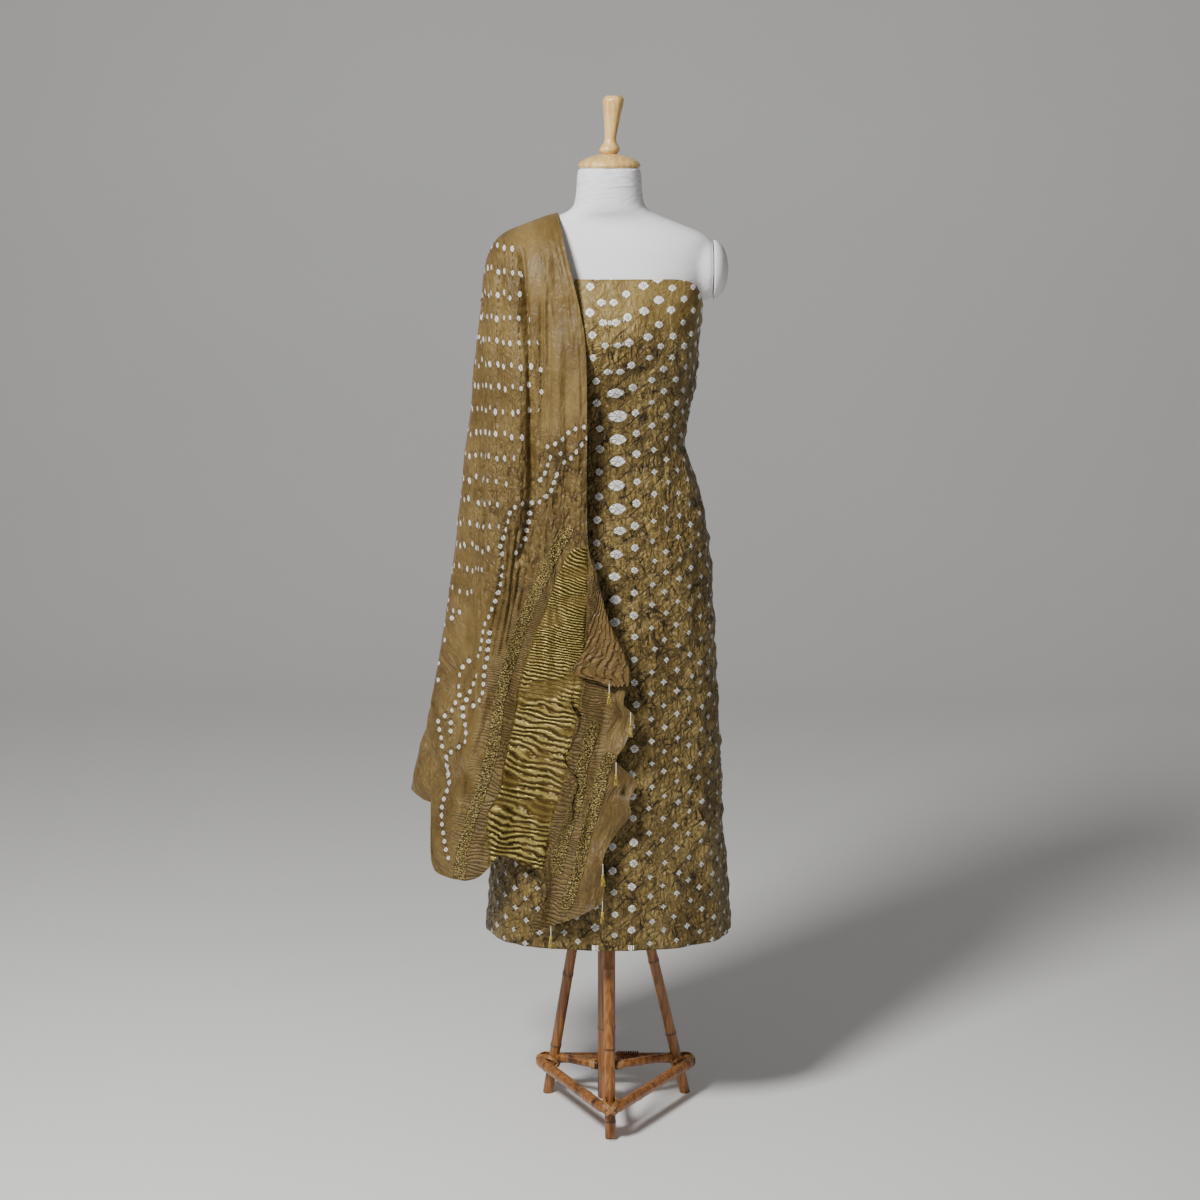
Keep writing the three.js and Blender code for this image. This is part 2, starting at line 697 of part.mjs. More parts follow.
function shawlCloth() {
  const place = (share, rise, isFront) => ({
    at: isFront ? -share : share,
    point: shawlPoint(share, shawlHeight(share, rise, isFront), isFront),
  });
  const outerFoldToEdge = [...frontShares].reverse();
  const frontRow = (rise) => outerFoldToEdge.map((share) => place(share, rise, true));
  const backRow = (rise) => backShares.map((share) => place(share, rise, false));
  const turnRow = (z) => turnShares.map((share) => ({ at: share, point: turnBackPoint(share, z) }));
  const frontRows = shawlRises.map(frontRow);
  const backRows = shawlRises.slice(0, -1).map(backRow);
  const shoulder = frontShares.map((share) => ({ at: share, point: place(share, 1, true).point }));
  const turnRows = turnHeights.map(turnRow);
  const corners = [...strips(frontRows), ...strips([...backRows, shoulder]), ...strips(turnRows)];
  return thicken(corners, SHAWL_CLOTH);
}

// A tassel: a thread from the shawl's edge, its head, and strands under the head
function strand(from, to, radius, sides) {
  return toSolid(
    loft([levelRing(to.x, to.y, to.z, radius, sides), levelRing(from.x, from.y, from.z, radius, sides)])
  );
}

const nearest = (list, score) => list.reduce((best, item) => (score(item) < score(best) ? item : best));

// The point of the shawl's edge that a tassel is tied to, and how thick the cloth is in front of it
function tasselRoot(row) {
  if (row.on === "turned corner") {
    const share = nearest(turnShares, (s) => Math.abs(s - row.across));
    return { edge: turnBackPoint(share, turnHeights[0]), cloth: SHAWL_CLOTH };
  }
  if (row.on === "end") {
    const rise = nearest(shawlRises, (r) => Math.abs(shawlHeight(0, r, true) - row.height));
    return { edge: shawlPoint(0, shawlHeight(0, rise, true), true), cloth: 0 };
  }
  const hemPoint = (share) => shawlPoint(share, shawlHeight(share, 0, true), true);
  const share = nearest(frontShares, (s) => Math.abs(hemPoint(s).x - row.reach));
  return { edge: hemPoint(share), cloth: 0 };
}

function tassel(row) {
  const { edge, cloth } = tasselRoot(row);
  const { threadLength } = row;
  const start = new THREE.Vector3(edge.x, edge.y - cloth - THREAD_RADIUS - THREAD_CLEARANCE, edge.z);
  const knot = new THREE.Vector3(start.x, start.y - TASSEL_STAND_OFF, start.z - threadLength);
  const headLow = new THREE.Vector3(knot.x, knot.y, knot.z - TASSEL_HEAD.height);
  let solid = strand(start, knot, THREAD_RADIUS, THREAD_SIDES);
  const headTop = knot.clone().setZ(knot.z + TASSEL_OVERLAP);
  solid = solid.add(strand(headTop, headLow, TASSEL_HEAD.radius, TASSEL_HEAD.sides));
  for (let i = 0; i < TASSEL_STRANDS.count; i++) {
    const angle = (i / TASSEL_STRANDS.count) * FULL_TURN;
    const way = new THREE.Vector3(Math.cos(angle), Math.sin(angle), 0);
    const root = headLow.clone().addScaledVector(way, TASSEL_STRANDS.root);
    root.z += TASSEL_OVERLAP;
    const tip = headLow.clone().addScaledVector(way, TASSEL_STRANDS.spread);
    tip.z -= TASSEL_STRANDS.length;
    solid = solid.add(strand(root, tip, TASSEL_STRANDS.radius, TASSEL_STRANDS.sides));
  }
  return toGeometry(solid);
}

// The turned top
function neckCap() {
  const profile = CAP_PROFILE.map(({ radius, height }) => new THREE.Vector2(radius, height));
  const cap = new THREE.LatheGeometry(profile, CAP_SIDES);
  cap.rotateX(QUARTER_TURN);
  cap.translate(0, 0, NECK_TOP + GAP);
  return cap;
}

function finial() {
  const base = NECK_TOP + CAP_PROFILE[CAP_PROFILE.length - 1].height + 2 * GAP;
  return loft(
    FINIAL_PROFILE.map(({ radius, height }) =>
      levelRing(height * FINIAL_LEAN, 0, base + height, radius, FINIAL_SIDES)
    )
  );
}

// The stand
function upright(x, y, low, high, radius, sides) {
  return loft([levelRing(x, y, low, radius, sides), levelRing(x, y, high, radius, sides)]);
}

// A leg's middle at a height, leaning in from its foot to the pole
function legMiddle(foot, height) {
  const out = new THREE.Vector2(foot.x - POLE_REACH, foot.y);
  const top = out.clone().setLength(LEG_TOP_OFFSET);
  const share = height / LEG_TOP_HEIGHT;
  return new THREE.Vector2(POLE_REACH + lerp(out.x, top.x, share), lerp(out.y, top.y, share));
}

function legSolid(foot, extra, low) {
  const rings = [low, LEG_TOP_HEIGHT].map((height) => {
    const middle = legMiddle(foot, height);
    return levelRing(middle.x, middle.y, height, LEG_RADIUS + extra, LEG_SIDES);
  });
  return toSolid(loft(rings));
}

const poleSolid = (extra) =>
  toSolid(
    upright(
      POLE_REACH,
      0,
      POLE_FOOT_HEIGHT - extra,
      FORM[0].height - GAP + extra,
      POLE_RADIUS + extra,
      POLE_SIDES
    )
  );

const footLevel = (foot) => (foot.name === FOOT_PAD.foot ? FOOT_PAD.height + GAP : 0);

// The ring: a rounded triangle just outside the legs
function caneRing() {
  const middles = FEET.map((foot) => legMiddle(foot, RING_HEIGHT));
  const corner = LEG_RADIUS + RING_RADIUS + RING_CLEARANCE;
  const path = [];
  middles.forEach((middle, i) => {
    const before = middles[(i + 2) % 3];
    const after = middles[(i + 1) % 3];
    // The feet run clockwise seen from above, so the outside is on the left of the way round
    const arriving = middle.clone().sub(before);
    const leaving = after.clone().sub(middle);
    const from = Math.atan2(arriving.x, -arriving.y);
    let to = Math.atan2(leaving.x, -leaving.y);
    while (to > from) {
      to -= FULL_TURN;
    }
    for (let step = 0; step <= RING_CORNER_STEPS; step++) {
      const angle = lerp(from, to, step / RING_CORNER_STEPS);
      path.push({ middle, angle, corner });
    }
  });
  const corners = [];
  const section = (place, i) => {
    const turn = (i / RING_SIDES) * FULL_TURN;
    const reach = place.corner + RING_RADIUS * Math.cos(turn);
    return new THREE.Vector3(
      place.middle.x + reach * Math.cos(place.angle),
      place.middle.y + reach * Math.sin(place.angle),
      RING_HEIGHT + RING_RADIUS * Math.sin(turn)
    );
  };
  path.forEach((place, k) => {
    const next = path[(k + 1) % path.length];
    for (let i = 0; i < RING_SIDES; i++) {
      const [a, b] = [section(place, i), section(place, i + 1)];
      const [c, d] = [section(next, i), section(next, i + 1)];
      corners.push(a, b, c, b, d, c);
    }
  });
  return weld(corners);
}

// A spoke from the pole to a leg, shaped to both
function spoke(foot) {
  const middle = legMiddle(foot, SPOKE_HEIGHT);
  const length = Math.hypot(middle.x - POLE_REACH, middle.y);
  const bar = new THREE.CylinderGeometry(SPOKE_RADIUS, SPOKE_RADIUS, length, SPOKE_SIDES);
  bar.rotateZ(QUARTER_TURN);
  bar.rotateZ(Math.atan2(middle.y, middle.x - POLE_REACH));
  bar.translate((POLE_REACH + middle.x) / 2, middle.y / 2, SPOKE_HEIGHT);
  const cut = toSolid(bar).subtract(poleSolid(GAP)).subtract(legSolid(foot, SPOKE_CLEARANCE, 0));
  return toGeometry(cut);
}

addPiece("form_torso", formTorso(), COVER_FINISH);
addPiece("arm_stub_left", armStub(-1), COVER_FINISH);
addPiece("arm_stub_right", armStub(1), COVER_FINISH);
addPiece("wrap_cloth", wrapCloth(), WRAP_FINISH);
addPiece("dupatta_cloth", shawlCloth(), SHAWL_FINISH);
TASSELS.forEach((row, i) => addPiece(`tassel_${i + 1}`, tassel(row), TASSEL_FINISH));
addPiece("neck_cap", neckCap(), MAPLE_FINISH);
addPiece("finial", finial(), MAPLE_FINISH);
addPiece("pole", toGeometry(poleSolid(0)), CANE_FINISH);
for (const foot of FEET) {
  const leg = legSolid(foot, 0, footLevel(foot)).subtract(poleSolid(GAP));
  addPiece(`leg_${foot.name}`, toGeometry(leg), CANE_FINISH);
  addPiece(`spoke_${foot.name}`, spoke(foot), CANE_FINISH);
}
addPiece("cane_ring", caneRing(), CANE_FINISH);
const padFoot = FEET.find((foot) => foot.name === FOOT_PAD.foot);
const pad = upright(padFoot.x, padFoot.y, 0, FOOT_PAD.height, FOOT_PAD.radius, FOOT_PAD.sides);
addPiece("foot_pad", pad, PAD_FINISH);

// The origin is under the middle of the whole outfit
const bounds = new THREE.Box3().setFromObject(part);
part.position.set(-(bounds.min.x + bounds.max.x) / 2, -(bounds.min.y + bounds.max.y) / 2, 0);

export default part;
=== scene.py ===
import math

import bpy
import numpy as np
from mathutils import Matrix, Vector, kdtree


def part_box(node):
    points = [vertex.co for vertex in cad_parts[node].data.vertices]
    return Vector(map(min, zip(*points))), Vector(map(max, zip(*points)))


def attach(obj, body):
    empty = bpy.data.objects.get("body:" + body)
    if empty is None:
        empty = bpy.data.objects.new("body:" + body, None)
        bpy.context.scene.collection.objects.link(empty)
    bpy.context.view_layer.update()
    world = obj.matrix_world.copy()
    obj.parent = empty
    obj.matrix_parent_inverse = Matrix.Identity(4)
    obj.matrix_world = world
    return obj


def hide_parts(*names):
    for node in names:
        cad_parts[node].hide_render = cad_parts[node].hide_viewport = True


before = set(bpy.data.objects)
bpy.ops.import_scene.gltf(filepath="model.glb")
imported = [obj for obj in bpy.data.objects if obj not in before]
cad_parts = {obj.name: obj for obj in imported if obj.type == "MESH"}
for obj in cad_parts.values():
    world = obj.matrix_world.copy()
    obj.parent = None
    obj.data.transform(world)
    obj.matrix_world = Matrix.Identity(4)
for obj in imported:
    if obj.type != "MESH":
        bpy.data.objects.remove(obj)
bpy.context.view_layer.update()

FULL_TURN = 2 * math.pi
QUARTER_TURN = math.pi / 2
METRE = 1000

# The solids' own middle lies 4 mm to the right of the pole
POLE_REACH = -4
pole_low, pole_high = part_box("pole")
ORIGIN = np.array([(pole_low.x + pole_high.x) / 2, (pole_low.y + pole_high.y) / 2, 0])
ORIGIN[0] -= POLE_REACH / METRE


class Table:
    """Rows of sizes with named columns, read along the first one as smooth curves."""

    def __init__(self, names, *rows):
        self.names = names.split()
        self.rows = np.array(rows, float)

    def __call__(self, name, at):
        keys = self.rows[:, 0]
        values = self.rows[:, self.names.index(name)]
        before = np.maximum(np.arange(len(keys)) - 1, 0)
        after = np.minimum(np.arange(len(keys)) + 1, len(keys) - 1)
        slopes = (values[after] - values[before]) / (keys[after] - keys[before])
        place = np.clip(at, keys[0], keys[-1])
        low = np.clip(np.searchsorted(keys, place) - 1, 0, len(keys) - 2)
        span = keys[low + 1] - keys[low]
        t = (place - keys[low]) / span
        rise = t * t * (3 - 2 * t)
        pulls = t * (1 - t) ** 2 * slopes[low] - t * t * (1 - t) * slopes[low + 1]
        return lerp(values[low], values[low + 1], rise) + pulls * span


def lerp(low, high, share):
    return low + (high - low) * share


def smoothstep(value, low, high):
    share = np.clip((value - low) / (high - low), 0, 1)
    return share * share * (3 - 2 * share)


def signed_power(base, power):
    return np.sign(base) * np.abs(base) ** power


def bump(away, width):
    """A bell-shaped rise by the distance from its middle."""
    return np.exp(-((away / width) ** 2))


def noise(x, y, seed):
    """Smooth random heights from -1 to 1, with bumps about one unit wide."""
    heights = np.random.default_rng(seed).uniform(-1, 1, (128, 128))
    column, row = np.floor(x).astype(int), np.floor(y).astype(int)
    u, v = smoothstep(x - column, 0, 1), smoothstep(y - row, 0, 1)

    def corner(right, up):
        return heights[(column + right) % 128, (row + up) % 128]

    return lerp(lerp(corner(0, 0), corner(1, 0), u), lerp(corner(0, 1), corner(1, 1), u), v)


def outline(angle, half_width, front, back, squareness):
    across = signed_power(np.sin(angle), 2 / squareness)
    ahead = signed_power(np.cos(angle), 2 / squareness)
    return half_width * across, -np.where(ahead > 0, front, back) * ahead


# Form: rounded sections from the flat underside to the top of the neck
SQUARENESS = 2.3
FORM = Table(
    "height half_width front back",
    (800, 162, 96, 112), (870, 169, 101, 119), (940, 172, 102, 122), (1005, 168, 101, 119),
    (1060, 161, 98, 111), (1110, 150.4, 94, 101), (1150, 135.4, 88, 92), (1190, 126.4, 84, 86),
    (1245, 132, 90, 86), (1307, 143, 108, 90), (1365, 148, 122, 94), (1400, 151, 118, 96),
    (1445, 157, 102, 97), (1480, 167, 88, 94), (1512, 172, 75, 86), (1534, 170, 62, 70),
    (1547, 150, 52, 56), (1559, 120, 46, 50), (1571, 90, 48, 51), (1582, 66, 56, 57),
    (1594, 58, 57, 58), (1651, 53, 53, 53),
)
FORM_SIDES = 96
SEAM_REACH = 174.7
ARM_HEIGHT = 1483
ARM_HALF_HEIGHT = 50
ARM_HALF_DEPTH = 46
STUB_LENGTH = 26
ARM_SIDES = 64
FORM_STEP = 6.0
FORM_LOW = 800
FORM_HIGH = 1651
FORM_GRAIN = 0.0055
GAP = 0.3

# Wrapped cloth: outer face of its sections from hem to top edge
WRAP = Table(
    "height half_width front back",
    (335, 213, 150, 160), (450, 205, 143, 154), (562, 198, 134, 148), (651, 194, 127, 142),
    (740, 189, 120, 137), (829, 184, 115, 133), (900, 181, 111, 131), (970, 177, 110, 129),
    (1039, 170, 108, 123), (1108, 156, 102, 109), (1150, 141, 96, 100), (1190, 131, 92, 94),
    (1245, 138, 97, 93), (1307, 149.5, 116, 97), (1365, 154, 131, 101), (1400, 157, 126, 103),
    (1445, 163, 110, 104), (1472, 172, 99, 102),
)
WAIST_HEIGHT = 1190
BODICE_HEIGHT = 1220
WRAP_HEM = 335
WRAP_TOP = 1471
UNDERARM_DIP = 47
UNDERARM_SHARPNESS = 8
LAP_ANGLE = 0.32
LAP_RISE = 5.5
LAP_START = FULL_TURN / (FULL_TURN + LAP_ANGLE)
SKIRT_WAVES = [{"count": 7, "start": 0.4, "reach": 2.2}, {"count": 12, "start": 1.9, "reach": 1.4}]
WAVES_FADE_OUT_HEIGHT = 900
WRAP_COLUMNS = 310
WRAP_ROWS = 296
HALF_CLOTH = 1
# How a hem is turned in
HEM_ROUND = 0.9
HEM_SLOPE = 0.6
HEM_DEPTH = 10

# Shawl: outer face of its sections, its free edges, lower edge and the line over the shoulder
SHAWL = Table(
    "height left front back squareness",
    (370, 362, 166, 172, 1.9), (450, 358, 164, 170, 1.9), (590, 345, 156, 164, 1.9),
    (690, 321, 150, 157, 1.92), (776, 301, 147, 152, 1.95), (873, 286, 145, 148, 2),
    (987, 269, 143, 145, 2.05), (1119, 253, 141, 138, 2.1), (1245, 237, 139, 128, 2.2),
    (1347, 226, 137, 120, 2.3), (1430, 217, 124, 117, 2.4),
)
FRONT_EDGE = Table(
    "height reach",
    (370, -66), (399, -39), (420, -16), (453, -7), (502, -10), (530, 2), (577, 35), (603, 33),
    (633, 45), (669, 11), (700, 26), (742, 43), (764, 24), (790, 26), (817, 31), (851, 21),
    (910, -6), (986, -25), (1040, -36), (1274, -37), (1373, -40), (1430, -50),
)
BACK_EDGE = Table("height reach", (370, -44), (900, -50), (1430, -62))
SHOULDER_LINE = Table(
    "along reach height",
    (0, -87, 1579.5), (0.15, -116, 1570.5), (0.33, -150, 1557.5), (0.45, -172, 1548.5),
    (0.57, -190, 1534.5), (0.7, -205, 1509.5), (0.84, -213, 1475), (1, -217, 1430),
)
SHOULDER_LINE_Y = 4
ARMPIT_HEIGHT = 1430
SHOULDER_ARCH_RISE = 2.3
SHOULDER_ARCH_ROUNDNESS = 0.52
HEM_REFERENCE_HEIGHT = 500
FRONT_HEM = Table(
    "reach height",
    (-360, 585), (-330, 576), (-304, 566), (-290, 548), (-277, 496), (-258, 458), (-223, 459),
    (-200, 480), (-185, 500), (-150, 486), (-122, 480), (-106, 440), (-98, 388), (-62, 379),
    (-38, 396), (-14, 424),
)
BACK_HEM = Table("reach height", (-360, 585), (-290, 560), (-160, 490), (-40, 430))
# Folds: upper reach and height, lower reach and height, width and rise
FRONT_FOLDS = [
    (-102, 1440, -150, 930, 17, -9), (-78, 1400, -110, 760, 14, 5), (-136, 1390, -182, 620, 20, 7),
    (-176, 1330, -228, 470, 20, 6), (-120, 820, -92, 390, 16, -6), (-60, 1010, -50, 380, 34, 8),
]
BACK_FOLDS = [
    (-90, 1440, -110, 430, 22, 8), (-140, 1400, -200, 450, 26, 10), (-190, 1300, -280, 520, 24, 9),
]
FOLD_FADE = 110
SIDE_FOLD = dict(start=800, full=650, reach=-288, half_width=30, rise=15, lap=33, ease_width=150)
HALF_FRONT_LENGTH = 420
RUFFLE = dict(top=800, wave=96, start=0.6, rise=7, width=0.16)
TURN_BACK = Table(
    "height width",
    (798, 40), (808, 64), (817, 96), (828, 104), (851, 84), (873, 64), (904, 45), (930, 30),
    (960, 18), (1013, 5),
)
TURN_BACK_ROUND = 5
TURN_BACK_WAVES = 2.4
TURN_BACK_WAVE_RISE = 2.2
SHAWL_FRONT_COLUMNS = [(0.7, 140), (1, 40)]
SHAWL_BACK_STEP = 3
SHAWL_ROWS = [(0.56, 225), (0.9, 66)]
SHOULDER_ROWS = 40
TURN_BACK_COLUMNS = 56

# Tassels at the ruffled end, the shawl's lower edge and the turned-back corner
TASSELS = [
    {"on": "turned corner", "across": 0.78, "thread": 16},
    {"on": "end", "height": 752, "thread": 18},
    {"on": "end", "height": 668, "thread": 17},
    {"on": "end", "height": 497, "thread": 15},
    {"on": "end", "height": 430, "thread": 15},
    {"on": "lower edge", "reach": -100, "thread": 14},
]

# Turned wooden top and cane stand
NECK_TOP = 1651
CAP_PROFILE = Table(
    "step radius height",
    (0, 49, 0), (1, 52, 2.5), (2, 52, 6), (3, 46, 12.5), (4, 32, 19), (5, 17, 23),
)
FINIAL_PROFILE = Table(
    "height radius",
    (0, 12), (5, 16.5), (10, 16.5), (17, 12), (24, 9.8), (38, 11), (62, 14), (82, 17.3), (90, 17.3),
    (95.5, 13),
)
CAP_HEIGHT = 23
FINIAL_HEIGHT = 95.5
FINIAL_LEAN = 0.075
POLE_RADIUS = 16
POLE_LOW = 16
POLE_TOP = 799.7
LEG_RADIUS = 9.8
LEG_TOP = 535
LEG_TOP_OFFSET = 23
FEET = {"front": (2.5, -163), "left": (-110, 62), "right": (138.5, 62)}
PAD_HEIGHT = 3
PAD_PROFILE = [(8.6, 0), (9, 0.5), (9, 2.5), (8.5, PAD_HEIGHT)]
RING_HEIGHT = 60
RING_RADIUS = 10
RING_CLEARANCE = 0.6
SPOKE_HEIGHT = 72
SPOKE_RADIUS = 7.5
SPOKE_BASE = np.array([POLE_REACH, 0, SPOKE_HEIGHT])
# Joints of the cane, as lengths along each bar
POLE_JOINTS = (130, 305, 500, 690)
LEG_JOINTS = {"front": (28, 150, 290, 420), "left": (95, 235, 380), "right": (120, 265, 400)}
RING_JOINTS = (90, 250, 430, 590, 760)
CORD_RADIUS = 1.1
LASHING_STEPS = (-2.4, 0, 2.4)
LOOP_REACH = 22
LOOP_HALF_HEIGHT = 15.4
SPOKE_WINDING = (19, 30)
RING_WINDING = (14, 54)
UP = np.array([0, 0, 1])

# The camera stands where the photograph was taken from
CAMERA_PLACE = (-15.5, -4200, 1650)
CAMERA_PITCH = math.radians(9.9)
PICTURE_WIDTH = 1200
FOCAL_PIXELS = 2470
SENSOR_WIDTH = 36


def in_picture(points):
    """Columns and rows of the photograph at which points show."""
    across, away, up = np.moveaxis(points - np.array(CAMERA_PLACE), -1, 0)
    depth = away * math.cos(CAMERA_PITCH) - up * math.sin(CAMERA_PITCH)
    rise = away * math.sin(CAMERA_PITCH) + up * math.cos(CAMERA_PITCH)
    middle = PICTURE_WIDTH / 2
    return middle + FOCAL_PIXELS * across / depth, middle - FOCAL_PIXELS * rise / depth


# Shapes of the two cloths


def wrap_points(share, rise):
    angle = math.pi + share * (FULL_TURN + LAP_ANGLE)
    dip = UNDERARM_DIP * np.abs(np.sin(angle)) ** UNDERARM_SHARPNESS
    z = lerp(WRAP_HEM, WRAP_TOP - dip, rise)
    loose = 1 - smoothstep(z, WRAP_HEM, WAVES_FADE_OUT_HEIGHT)
    wave = sum(w["reach"] * (1 + np.sin(w["count"] * angle + w["start"])) / 2 for w in SKIRT_WAVES)
    out = wave * loose + LAP_RISE * smoothstep(share, LAP_START - 0.035, LAP_START - 0.005)
    sizes = [WRAP(name, z) + out for name in ("half_width", "front", "back")]
    x, y = outline(angle, *sizes, SQUARENESS)
    return np.stack([x, y, z], -1), angle


def shawl_section(share, z, is_front):
    left = SHAWL("left", z)
    squareness = SHAWL("squareness", z)
    edge = (FRONT_EDGE if is_front else BACK_EDGE)("reach", z)
    edge_angle = np.arcsin(signed_power(-edge / left, squareness / 2))
    angle = lerp(edge_angle, QUARTER_TURN, share)
    depth = -SHAWL("front", z) if is_front else SHAWL("back", z)
    x = -left * signed_power(np.sin(angle), 2 / squareness)
    return np.stack([x, depth * np.maximum(0, np.cos(angle)) ** (2 / squareness)], -1)


SHARE_STEP = 0.004


def shawl_directions(share, z, is_front):
    before = shawl_section(np.maximum(share - SHARE_STEP, 0), z, is_front)
    along = shawl_section(np.minimum(share + SHARE_STEP, 1), z, is_front) - before
    along /= np.linalg.norm(along, axis=-1, keepdims=True)
    out = np.stack([along[..., 1], -along[..., 0]], -1)
    return along, -out if is_front else out


def fold_rise(folds, x, z):
    rise = 0
    for top_reach, top_height, low_reach, low_height, width, height in folds:
        down = (top_height - z) / (top_height - low_height)
        middle = lerp(top_reach, low_reach, np.clip(down, 0, 1.2))
        fade = 1 - smoothstep(z, top_height - FOLD_FADE, top_height)
        rise = rise + height * bump(x - middle, width) * fade
    return rise


def side_fold(share, z):
    fold = SIDE_FOLD
    strength = 1 - smoothstep(z, fold["full"], fold["start"])
    left = SHAWL("left", z)
    half_square = SHAWL("squareness", z) / 2
    fold_angle = np.arcsin(np.minimum(1, (-fold["reach"] / left) ** half_square))
    edge_angle = np.arcsin(signed_power(-FRONT_EDGE("reach", z) / left, half_square))
    fold_share = (fold_angle - edge_angle) / (QUARTER_TURN - edge_angle)
    past = (share - fold_share) * HALF_FRONT_LENGTH / fold["half_width"]
    ease = 1 - smoothstep(-past * fold["half_width"], fold["half_width"], fold["ease_width"])
    rise = fold["rise"] * (1 - smoothstep(past, -1, 1)) * ease
    lap = np.where(np.abs(past) < 1.6, -fold["lap"] * np.sin(past / 1.6 * math.pi), 0)
    return rise * strength, lap * strength


def ruffle_rise(share, z):
    strength = 1 - smoothstep(z, RUFFLE["top"] - 40, RUFFLE["top"] + 20)
    wave = 1 + np.sin(z / RUFFLE["wave"] * FULL_TURN + RUFFLE["start"])
    return RUFFLE["rise"] * strength * wave * np.maximum(0, 1 - share / RUFFLE["width"]) ** 2


def shawl_below_armpit(share, z, is_front):
    flat = shawl_section(share, z, is_front)
    along, out = shawl_directions(share, z, is_front)
    rise = fold_rise(FRONT_FOLDS if is_front else BACK_FOLDS, flat[..., 0], z)
    if is_front:
        side_rise, lap = side_fold(share, z)
        rise = rise + side_rise + ruffle_rise(share, z)
        flat = flat + along * lap[..., None]
    return flat + out * rise[..., None]


def shawl_points(share, z, is_front):
    start = shawl_below_armpit(share, np.minimum(z, ARMPIT_HEIGHT), is_front)
    reach = np.maximum(SHOULDER_LINE("height", share) - ARMPIT_HEIGHT, 0.001)
    rise = np.clip((z - ARMPIT_HEIGHT) / reach, 0, 1)
    drop = (1 - rise**SHOULDER_ARCH_RISE) ** SHOULDER_ARCH_ROUNDNESS
    x = lerp(start[..., 0], SHOULDER_LINE("reach", share), rise)
    return np.stack([x, lerp(SHOULDER_LINE_Y, start[..., 1], drop), z], -1)


def shawl_heights(share, rise, is_front):
    reach = shawl_section(share, np.full_like(share, HEM_REFERENCE_HEIGHT), is_front)[..., 0]
    hem = FRONT_HEM("height", reach) if is_front else BACK_HEM("height", reach)
    return lerp(hem, SHOULDER_LINE("height", share), rise)


def turn_back_points(share, z):
    fold = shawl_points(np.zeros_like(z), z, True)
    width = TURN_BACK("width", z) * share
    round_length = math.pi * TURN_BACK_ROUND
    turn = np.clip(width / round_length, 0, 1) * math.pi
    beyond = np.maximum(0, width - round_length)
    wave = TURN_BACK_WAVE_RISE * np.sin(share * TURN_BACK_WAVES * math.pi) * share
    x = fold[..., 0] + TURN_BACK_ROUND * np.sin(turn) - beyond
    y = fold[..., 1] - TURN_BACK_ROUND * (1 - np.cos(turn)) - wave
    return np.stack([x, y, z], -1)


def stations(bands):
    found = [0.0]
    for up_to, steps in bands:
        found.extend(np.linspace(found[-1], up_to, steps + 1)[1:])
    return np.array(found)


# Meshes


def grid_faces(index):
    corners = [index[:-1, :-1], index[:-1, 1:], index[1:, 1:], index[1:, :-1]]
    return np.stack(corners, -1).reshape(-1, 4).tolist()


def grid_normals(points):
    up, along = np.gradient(points, axis=0), np.gradient(points, axis=1)
    normals = np.cross(along, up)
    lengths = np.linalg.norm(normals, axis=-1, keepdims=True)
    return normals / np.maximum(lengths, 1e-9)


def add_mesh(name, points, faces):
    mesh = bpy.data.meshes.new(name)
    mesh.from_pydata((np.asarray(points) / METRE + ORIGIN).tolist(), [], faces)
    mesh.shade_smooth()
    made = bpy.data.objects.new(name, mesh)
    bpy.context.scene.collection.objects.link(made)
    return made


def add_attribute(piece, name, values):
    kind, field = ("FLOAT_VECTOR", "vector") if values.ndim == 2 else ("FLOAT", "value")
    stored = piece.data.attributes.new(name, kind, "POINT")
    stored.data.foreach_set(field, np.ascontiguousarray(values, dtype=np.float32).ravel())


def add_ties(piece, across, up, spot, gather):
    """What both cloths' materials read: place on the cloth, nearest spot and depth of the gathers."""
    add_attribute(piece, "cloth", np.stack([across, up, np.zeros(len(up))], -1))
    add_attribute(piece, "spot", spot)
    add_attribute(piece, "spot_near", np.linalg.norm(spot[:, :2], axis=1))
    add_attribute(piece, "gather", gather)


def finish_piece(piece, material, slot, *nodes):
    piece.data.materials.append(material)
    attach(piece, "root")
    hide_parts(*nodes)
    return piece


def round_angles(sides):
    return np.arange(sides) / sides * FULL_TURN


def tube(centres, radii, sides, closed=False):
    """Points and faces of a bar round a line of middles, with a frame that turns with the line."""
    centres = np.asarray(centres, float)
    radii = np.broadcast_to(radii, len(centres))
    count = len(centres)
    if closed:
        way = np.roll(centres, -1, 0) - np.roll(centres, 1, 0)
    else:
        way = np.gradient(centres, axis=0)
    way /= np.linalg.norm(way, axis=1, keepdims=True)
    side = np.cross(way[0], (0.0, 0.0, 1.0) if abs(way[0][2]) < 0.8 else (1.0, 0.0, 0.0))
    points = []
    for middle, ahead, radius in zip(centres, way, radii):
        side = side - ahead * np.dot(side, ahead)
        side /= np.linalg.norm(side)
        other = np.cross(ahead, side)
        for turn in round_angles(sides):
            points.append(middle + radius * (math.cos(turn) * side + math.sin(turn) * other))
    index = np.arange(count * sides).reshape(count, sides)
    index = np.concatenate([index, index[:, :1]], 1)
    if closed:
        return points, grid_faces(np.concatenate([index, index[:1]], 0))
    ends = [list(reversed(range(sides))), list(range((count - 1) * sides, count * sides))]
    return points, grid_faces(index) + ends


def joined(parts):
    """Points and faces of several tubes as one mesh."""
    points, faces = [], []
    for part_points, part_faces in parts:
        start = len(points)
        points.extend(part_points)
        faces.extend([corner + start for corner in face] for face in part_faces)
    return points, faces


# Materials


def linear(red, green, blue):
    """A colour given in everyday 0 to 255 steps."""
    return tuple((step / 255) ** 2.2 for step in (red, green, blue)) + (1.0,)


